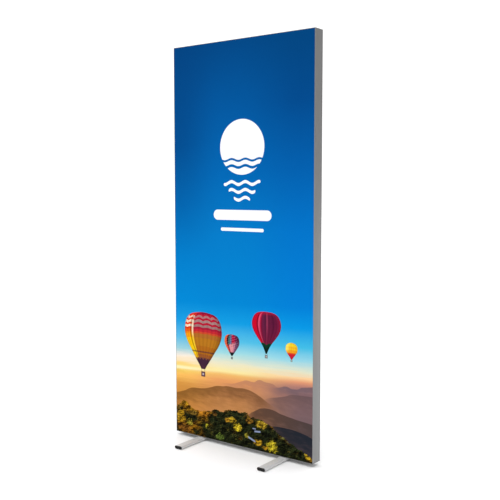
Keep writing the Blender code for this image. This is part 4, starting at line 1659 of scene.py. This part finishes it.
@dataclass
class Foot:
    """A foot bar with its plugs and pads, and the bolt and disc that it swivels on."""

    hand: Hand
    metal: bpy.types.Material
    plastic: bpy.types.Material
    rubber: bpy.types.Material
    steel: bpy.types.Material
    wall: float = 1.8 * MM
    web: float = 1.5 * MM
    middle_cell: float = 13.6 * MM
    plug_face: float = 3 * MM
    tongue: float = 14 * MM
    bore: float = 4.3 * MM

    @property
    def body(self) -> Body:
        """The body that the foot moves with."""
        return Body[f"FOOT_{self.hand.name}"]

    def cells(
        self, width: float, height: float, clearance: float
    ) -> list[tuple[list[Point], tuple[float, ...]]]:
        """The three hollows, or the tongues that fill them: a plain one and two round-sided ones.

        Args:
            width: The bar's width.
            height: The bar's height.
            clearance: How much smaller the outlines are than the hollows.

        Returns:
            The outlines in Y and Z, each with its corners' radii.
        """
        half = width / 2 - self.wall - clearance
        z = height / 2 - self.wall - clearance
        inner = self.middle_cell / 2 - clearance
        outer = self.middle_cell / 2 + self.web + clearance
        tight, full = 0.4 * MM, z - FULL_ROUND_SHORT
        return [
            (rectangle(inner, z), (tight,) * 4),
            ([(outer, -z), (half, -z), (half, z), (outer, z)], (tight, full, full, tight)),
            ([(-half, -z), (-outer, -z), (-outer, z), (-half, z)], (full, tight, tight, full)),
        ]

    def bar(self, node: str) -> bpy.types.Mesh:
        """The bar, with its webs and its bolt hole.

        Args:
            node: The node's name.

        Returns:
            The mesh.
        """
        low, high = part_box(node)
        size, middle = high - low, (low + high) / 2
        outline = rectangle(size.x / 2, size.z / 2)
        shape = drawn([outline], size.y, (size.z / 2 - FULL_ROUND_SHORT,))
        for cell, radii in self.cells(size.x, size.z, 0.0):
            hollow = as_mesh(drawn([cell], size.y, (radii,)))
            shape.from_mesh(hollow)
            bpy.data.meshes.remove(hollow)
        close_ends(shape)
        quarter = Matrix.Rotation(radians(90), 4, "Z")
        mesh = as_mesh(moved(shape, Matrix.Translation(middle) @ quarter))
        hole = drill(self.bore, middle.z, high.z + 2 * MM, middle.x)
        return with_cut(mesh, hole, "DIFFERENCE")

    def end_plug(self, node: str, toward: int) -> bpy.types.Mesh:
        """An end plug: a rounded face, dished a little, and three tongues.

        Args:
            node: The node's name.
            toward: The sign of Y that its face points to.

        Returns:
            The mesh.
        """
        low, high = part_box(node)
        width, height = high.x - low.x, high.z - low.z
        outline = rectangle(width / 2, height / 2)
        shape = drawn([outline], self.plug_face, (height / 2 - FULL_ROUND_SHORT,))
        close_ends(shape)
        without_flat_edges(shape)
        front = [f for f in shape.faces if f.normal.x > 0.9]
        rounded(shape, [e for f in front for e in f.edges], 1.1 * MM, 4)
        for border, depth in ((1.4 * MM, 0), (0.8 * MM, -0.4 * MM)):
            front = max((f for f in shape.faces if f.normal.x > 0.99), key=lambda f: f.calc_area())
            bmesh.ops.inset_region(
                shape, faces=[front], thickness=border, depth=depth, use_even_offset=False
            )
        mesh = as_mesh(shape)
        for tongue, radii in self.cells(width, height, GAP):
            stem = drawn([tongue], self.tongue + MM, (radii,))
            close_ends(stem)
            back = -self.plug_face / 2 - self.tongue / 2 + MM / 2
            bmesh.ops.translate(stem, vec=(back, 0, 0), verts=stem.verts)
            mesh = with_cut(mesh, stem, "UNION")
        face = low.y if toward < 0 else high.y
        seat = (low + high) / 2
        seat.y = face - toward * self.plug_face / 2
        turn = Matrix.Rotation(radians(90 * toward), 4, "Z")
        mesh.transform(Matrix.Translation(seat) @ turn)
        return mesh

    def pad(self, node: str) -> bmesh.types.BMesh:
        """A rubber pad with two grooves round its underside.

        Args:
            node: The node's name.

        Returns:
            The pad.
        """
        low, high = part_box(node)
        radius, middle = (high.x - low.x) / 2, (low + high) / 2
        rings = [Ring(0, 1 * MM)]
        for groove in (3.2 * MM, 6 * MM):
            rings += [
                Ring(0, groove - 0.5 * MM), Ring(0.35 * MM, groove - 0.3 * MM),
                Ring(0.35 * MM, groove + 0.3 * MM), Ring(0, groove + 0.5 * MM),
            ]
        rings += [
            Ring(0, radius - 0.4 * MM), Ring(0.12 * MM, radius - 0.1 * MM), Ring(0.4 * MM, radius),
            Ring(high.z - 0.2 * MM, radius), Ring(high.z, radius - 0.25 * MM), Ring(high.z, 1 * MM),
        ]
        shape = turned(rings, 48)
        bmesh.ops.translate(shape, vec=(middle.x, middle.y, low.z), verts=shape.verts)
        return shape

    def bolt(self, node: str) -> bmesh.types.BMesh:
        """The swivel bolt: a hexagon head, a plain neck and a thread.

        Args:
            node: The node's name.

        Returns:
            The bolt.
        """
        low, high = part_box(node)
        radius, flats, pitch, head = 4 * MM, 6.5 * MM, 1.25 * MM, 5 * MM
        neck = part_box(f"swivel_disc_{self.hand.word}")[1].z + 6 * MM
        rings = [
            Ring(low.z, 2 * MM), Ring(low.z, flats - 0.6 * MM),
            Ring(low.z + 0.3 * MM, flats, Form.HEXAGON),
            Ring(low.z + head - 0.3 * MM, flats, Form.HEXAGON),
            Ring(low.z + head, flats - 0.6 * MM), Ring(low.z + head, radius), Ring(neck, radius),
        ]
        radii = (radius - 0.55 * MM, radius - 0.02 * MM)
        rings += thread(neck + 0.2 * MM, high.z - neck - 2 * MM, pitch, radii)
        rings += [Ring(high.z - 0.7 * MM, radius - 0.5 * MM), Ring(high.z, radius - 1.1 * MM)]
        shape = turned(rings, 48)
        bmesh.ops.translate(shape, vec=((low.x + high.x) / 2, 0, 0), verts=shape.verts)
        return shape

    def build(self) -> None:
        """Builds and shows the foot."""
        word = self.hand.word
        bar = f"foot_bar_{word}"
        show(self.bar(bar), bar, self.body, Slot.FOOT, self.metal)
        for end, toward in (("front", -1), ("rear", 1)):
            plug = f"foot_cap_{end}_{word}"
            show(self.end_plug(plug, toward), plug, self.body, Slot.PLASTIC, self.plastic)
            pad = f"foot_pad_{end}_{word}"
            show(self.pad(pad), pad, self.body, Slot.RUBBER, self.rubber)
        bolt, disc = f"foot_bolt_{word}", f"swivel_disc_{word}"
        show(self.bolt(bolt), bolt, self.body, Slot.FASTENER, self.steel)
        show(washer_shape(disc, self.bore, 0.2 * MM), disc, self.body, Slot.PLASTIC, self.plastic)


def washer_shape(node: str, hole: float, edge: float) -> bmesh.types.BMesh:
    """A flat ring with rounded edges, where its node is.

    Args:
        node: The node's name.
        hole: The radius of its hole.
        edge: The radius of its edges.

    Returns:
        The ring.
    """
    low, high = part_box(node)
    radius, middle = (high.x - low.x) / 2, (low + high) / 2
    profile = [
        (low.z + edge, hole), (low.z, hole + edge), (low.z, radius - edge),
        (low.z + edge, radius), (high.z - edge, radius), (high.z, radius - edge),
        (high.z, hole + edge), (high.z - edge, hole),
    ]
    shape = bmesh.new()
    edges = outline_edges(shape, [Vector((reach, 0, height)) for height, reach in profile])
    bmesh.ops.spin(
        shape, geom=[*shape.verts, *edges], cent=(0, 0, 0), axis=(0, 0, 1), angle=2 * pi, steps=64,
        use_merge=True, use_duplicate=False,
    )
    bmesh.ops.remove_doubles(shape, verts=shape.verts, dist=TINY)
    bmesh.ops.recalc_face_normals(shape, faces=shape.faces)
    bmesh.ops.translate(shape, vec=(middle.x, middle.y, 0), verts=shape.verts)
    return shape


@dataclass
class ClampKnob:
    """A star knob with its brass insert, on its washer."""

    hand: Hand
    plastic: bpy.types.Material
    brass: bpy.types.Material
    steel: bpy.types.Material
    bore: float = 4.3 * MM
    pocket: float = 6.8 * MM
    pocket_depth: float = 11.8 * MM
    boss: float = 10.2 * MM
    boss_height: float = 8 * MM
    root: float = 13.7 * MM
    lobe: float = 5.5 * MM

    def knob(self, node: str) -> bmesh.types.BMesh:
        """The knob, rounded over its lobes, with a ring sunk in its top.

        Args:
            node: The node's name.

        Returns:
            The knob.
        """
        low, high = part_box(node)
        base, top = low.z, high.z
        under = base + self.boss_height
        pocket_end = base + self.pocket_depth
        rings = [
            Ring(top - 0.9 * MM, self.bore), Ring(pocket_end, self.bore),
            Ring(pocket_end, self.pocket), Ring(base + 0.3 * MM, self.pocket),
            Ring(base, self.pocket + 0.3 * MM),
            Ring(base, self.boss - 0.5 * MM), Ring(base + 0.15 * MM, self.boss - 0.15 * MM),
            Ring(base + 0.5 * MM, self.boss), Ring(under - 0.9 * MM, self.boss),
            Ring(under - 0.3 * MM, self.boss + 0.25 * MM),
            Ring(under, self.boss + 0.9 * MM, Form.STAR, 0.3 * MM),
        ]
        for height, shrink in ((0.0, 0.9), (0.25, 0.3), (0.8, 0.0)):
            rings.append(Ring(under + height * MM, self.root - shrink * MM, Form.STAR, self.lobe))
        shoulder = ((4.2, 0.0), (2.9, 0.25), (1.8, 0.9), (1.0, 1.8), (0.5, 2.7), (0.2, 3.6))
        for fall, shrink in shoulder:
            lobe = self.lobe * (1 - shrink / 9)
            rings.append(Ring(top - fall * MM, self.root - shrink * MM, Form.STAR, lobe))
        rings += [
            Ring(top - 0.05 * MM, 9.4 * MM, Form.STAR, 1.2 * MM), Ring(top, 8.4 * MM),
            Ring(top - 0.1 * MM, 8 * MM), Ring(top - 0.45 * MM, 7.8 * MM),
            Ring(top - 0.45 * MM, 7.3 * MM), Ring(top - 0.1 * MM, 7 * MM), Ring(top, 6.4 * MM),
            Ring(top, 2 * MM),
        ]
        shape = turned(rings, 96)
        bmesh.ops.translate(shape, vec=((low.x + high.x) / 2, 0, 0), verts=shape.verts)
        return shape

    def build(self) -> None:
        """Builds and shows the knob, its insert and its washer."""
        word, name = self.hand.word, self.hand.name
        knob, insert, washer = f"clamp_knob_{word}", f"knob_insert_{word}", f"knob_washer_{word}"
        turning, lifting = Body[f"KNOB_{name}"], Body[f"WASHER_{name}"]
        show(self.knob(knob), knob, turning, Slot.PLASTIC, self.plastic)
        sleeve = washer_shape(insert, self.bore, 0.3 * MM)
        show(sleeve, insert, turning, Slot.BRASS, self.brass)
        ring = washer_shape(washer, self.bore, 0.25 * MM)
        show(ring, washer, lifting, Slot.FASTENER, self.steel)


# Studio


@dataclass(frozen=True)
class Studio:
    """A pale floor, soft light all round and the camera.

    The room is bright in front and dim where room_toward points, behind on the right.
    """

    floor_half: float = 30.0
    floor_tone: float = 0.92
    lens: float = 55.33
    azimuth: float = 36.62
    elevation: float = 4.45
    camera_place: Spatial = (2.2751, -3.0107, 1.2934)
    lamp_place: Spatial = (-2.6, -3.6, 3.4)
    lamp_aim: Spatial = (0, 0, 0.9)
    lamp_power: float = 22
    room_toward: Spatial = (0.62, 0.7, 0.3)
    room_front: float = 0.8
    room_back: float = 0.34
    room_above: float = 1.25
    room_seen: float = 1.2

    def add_camera(self) -> None:
        """Adds the camera."""
        data = bpy.data.cameras.new("camera")
        data.lens, data.sensor_width = self.lens, 36
        camera = bpy.data.objects.new("camera", data)
        bpy.context.scene.collection.objects.link(camera)
        across, up = radians(self.azimuth), radians(self.elevation)
        back = Vector((sin(across) * cos(up), -cos(across) * cos(up), sin(up)))
        camera.location = self.camera_place
        camera.rotation_mode = "QUATERNION"
        camera.rotation_quaternion = (-back).to_track_quat("-Z", "Y")
        bpy.context.scene.camera = camera

    def add_floor(self) -> None:
        """Adds the floor."""
        shape = bmesh.new()
        bmesh.ops.create_grid(shape, x_segments=1, y_segments=1, size=self.floor_half)
        mesh = as_mesh(shape)
        surface = Surface.start("pale_floor")
        tone = self.floor_tone
        cloud = surface.noise(0.6, 2)
        colour = surface.colours(cloud, (tone,) * 3, (tone + 0.02,) * 3)
        surface.dress(colour, cloud * 0.1 + 0.75, cloud, 0.1 * MM, 0)
        surface.shader.inputs["Specular IOR Level"].default_value = 0.1
        mesh.materials.append(surface.material)
        floor = bpy.data.objects.new("floor", mesh)
        bpy.context.scene.collection.objects.link(floor)

    def add_light(self) -> None:
        """Adds the light: a white room, dimmer behind on the right, and one large soft lamp."""
        world = bpy.data.worlds.new("studio")
        world.use_nodes = True
        tree = world.node_tree
        place = tree.nodes.new("ShaderNodeTexCoord").outputs["Generated"]
        split = tree.nodes.new("ShaderNodeSeparateXYZ")
        wire(tree, place, split.inputs[0])
        x, y, z = (Field(tree, output) for output in split.outputs)
        along_x, along_y, along_z = self.room_toward
        toward = x * along_x + y * along_y + z * along_z
        dim = toward.rise(0.35, 0.9, self.room_front, self.room_back)
        dim = dim + z.rise(0.35, 0.95) * self.room_above
        seen = Field(tree, tree.nodes.new("ShaderNodeLightPath").outputs["Is Camera Ray"])
        strength = dim.most(seen * self.room_seen)
        background = tree.nodes["Background"]
        background.inputs["Color"].default_value = (1, 1, 1, 1)
        wire(tree, strength, background.inputs["Strength"])
        bpy.context.scene.world = world
        data = bpy.data.lights.new("soft_lamp", "AREA")
        data.shape, data.size, data.size_y = "RECTANGLE", 3.0, 2.4
        data.energy = self.lamp_power
        lamp = bpy.data.objects.new("soft_lamp", data)
        lamp.location = self.lamp_place
        aim = Vector(self.lamp_aim) - lamp.location
        lamp.rotation_mode = "QUATERNION"
        lamp.rotation_quaternion = aim.to_track_quat("-Z", "Y")
        bpy.context.scene.collection.objects.link(lamp)

    def build(self) -> None:
        """Sets the studio up."""
        self.add_camera()
        self.add_floor()
        self.add_light()
        bpy.context.scene.view_settings.view_transform = "Standard"


def main() -> None:
    """Builds every piece in order."""
    logging.basicConfig(level=logging.INFO, format="%(name)s: %(message)s")
    Studio().build()
    rails = RailFrame()
    rails.build()
    Crossbar(rails).build()
    FabricFront().build()
    plastic, rubber = MouldedPlastic().material(), GreyRubber().material()
    brass = TurnedBrass().material()
    foot_metal = AnodisedAluminium("anodised_foot", FOOT_TONE, Grain.ALONG_Y, 0.5, 0.25).material()
    for hand in Hand:
        Foot(hand, foot_metal, plastic, rubber, rails.fastener).build()
        ClampKnob(hand, plastic, brass, rails.fastener).build()


if __name__ == "__main__":
    main()
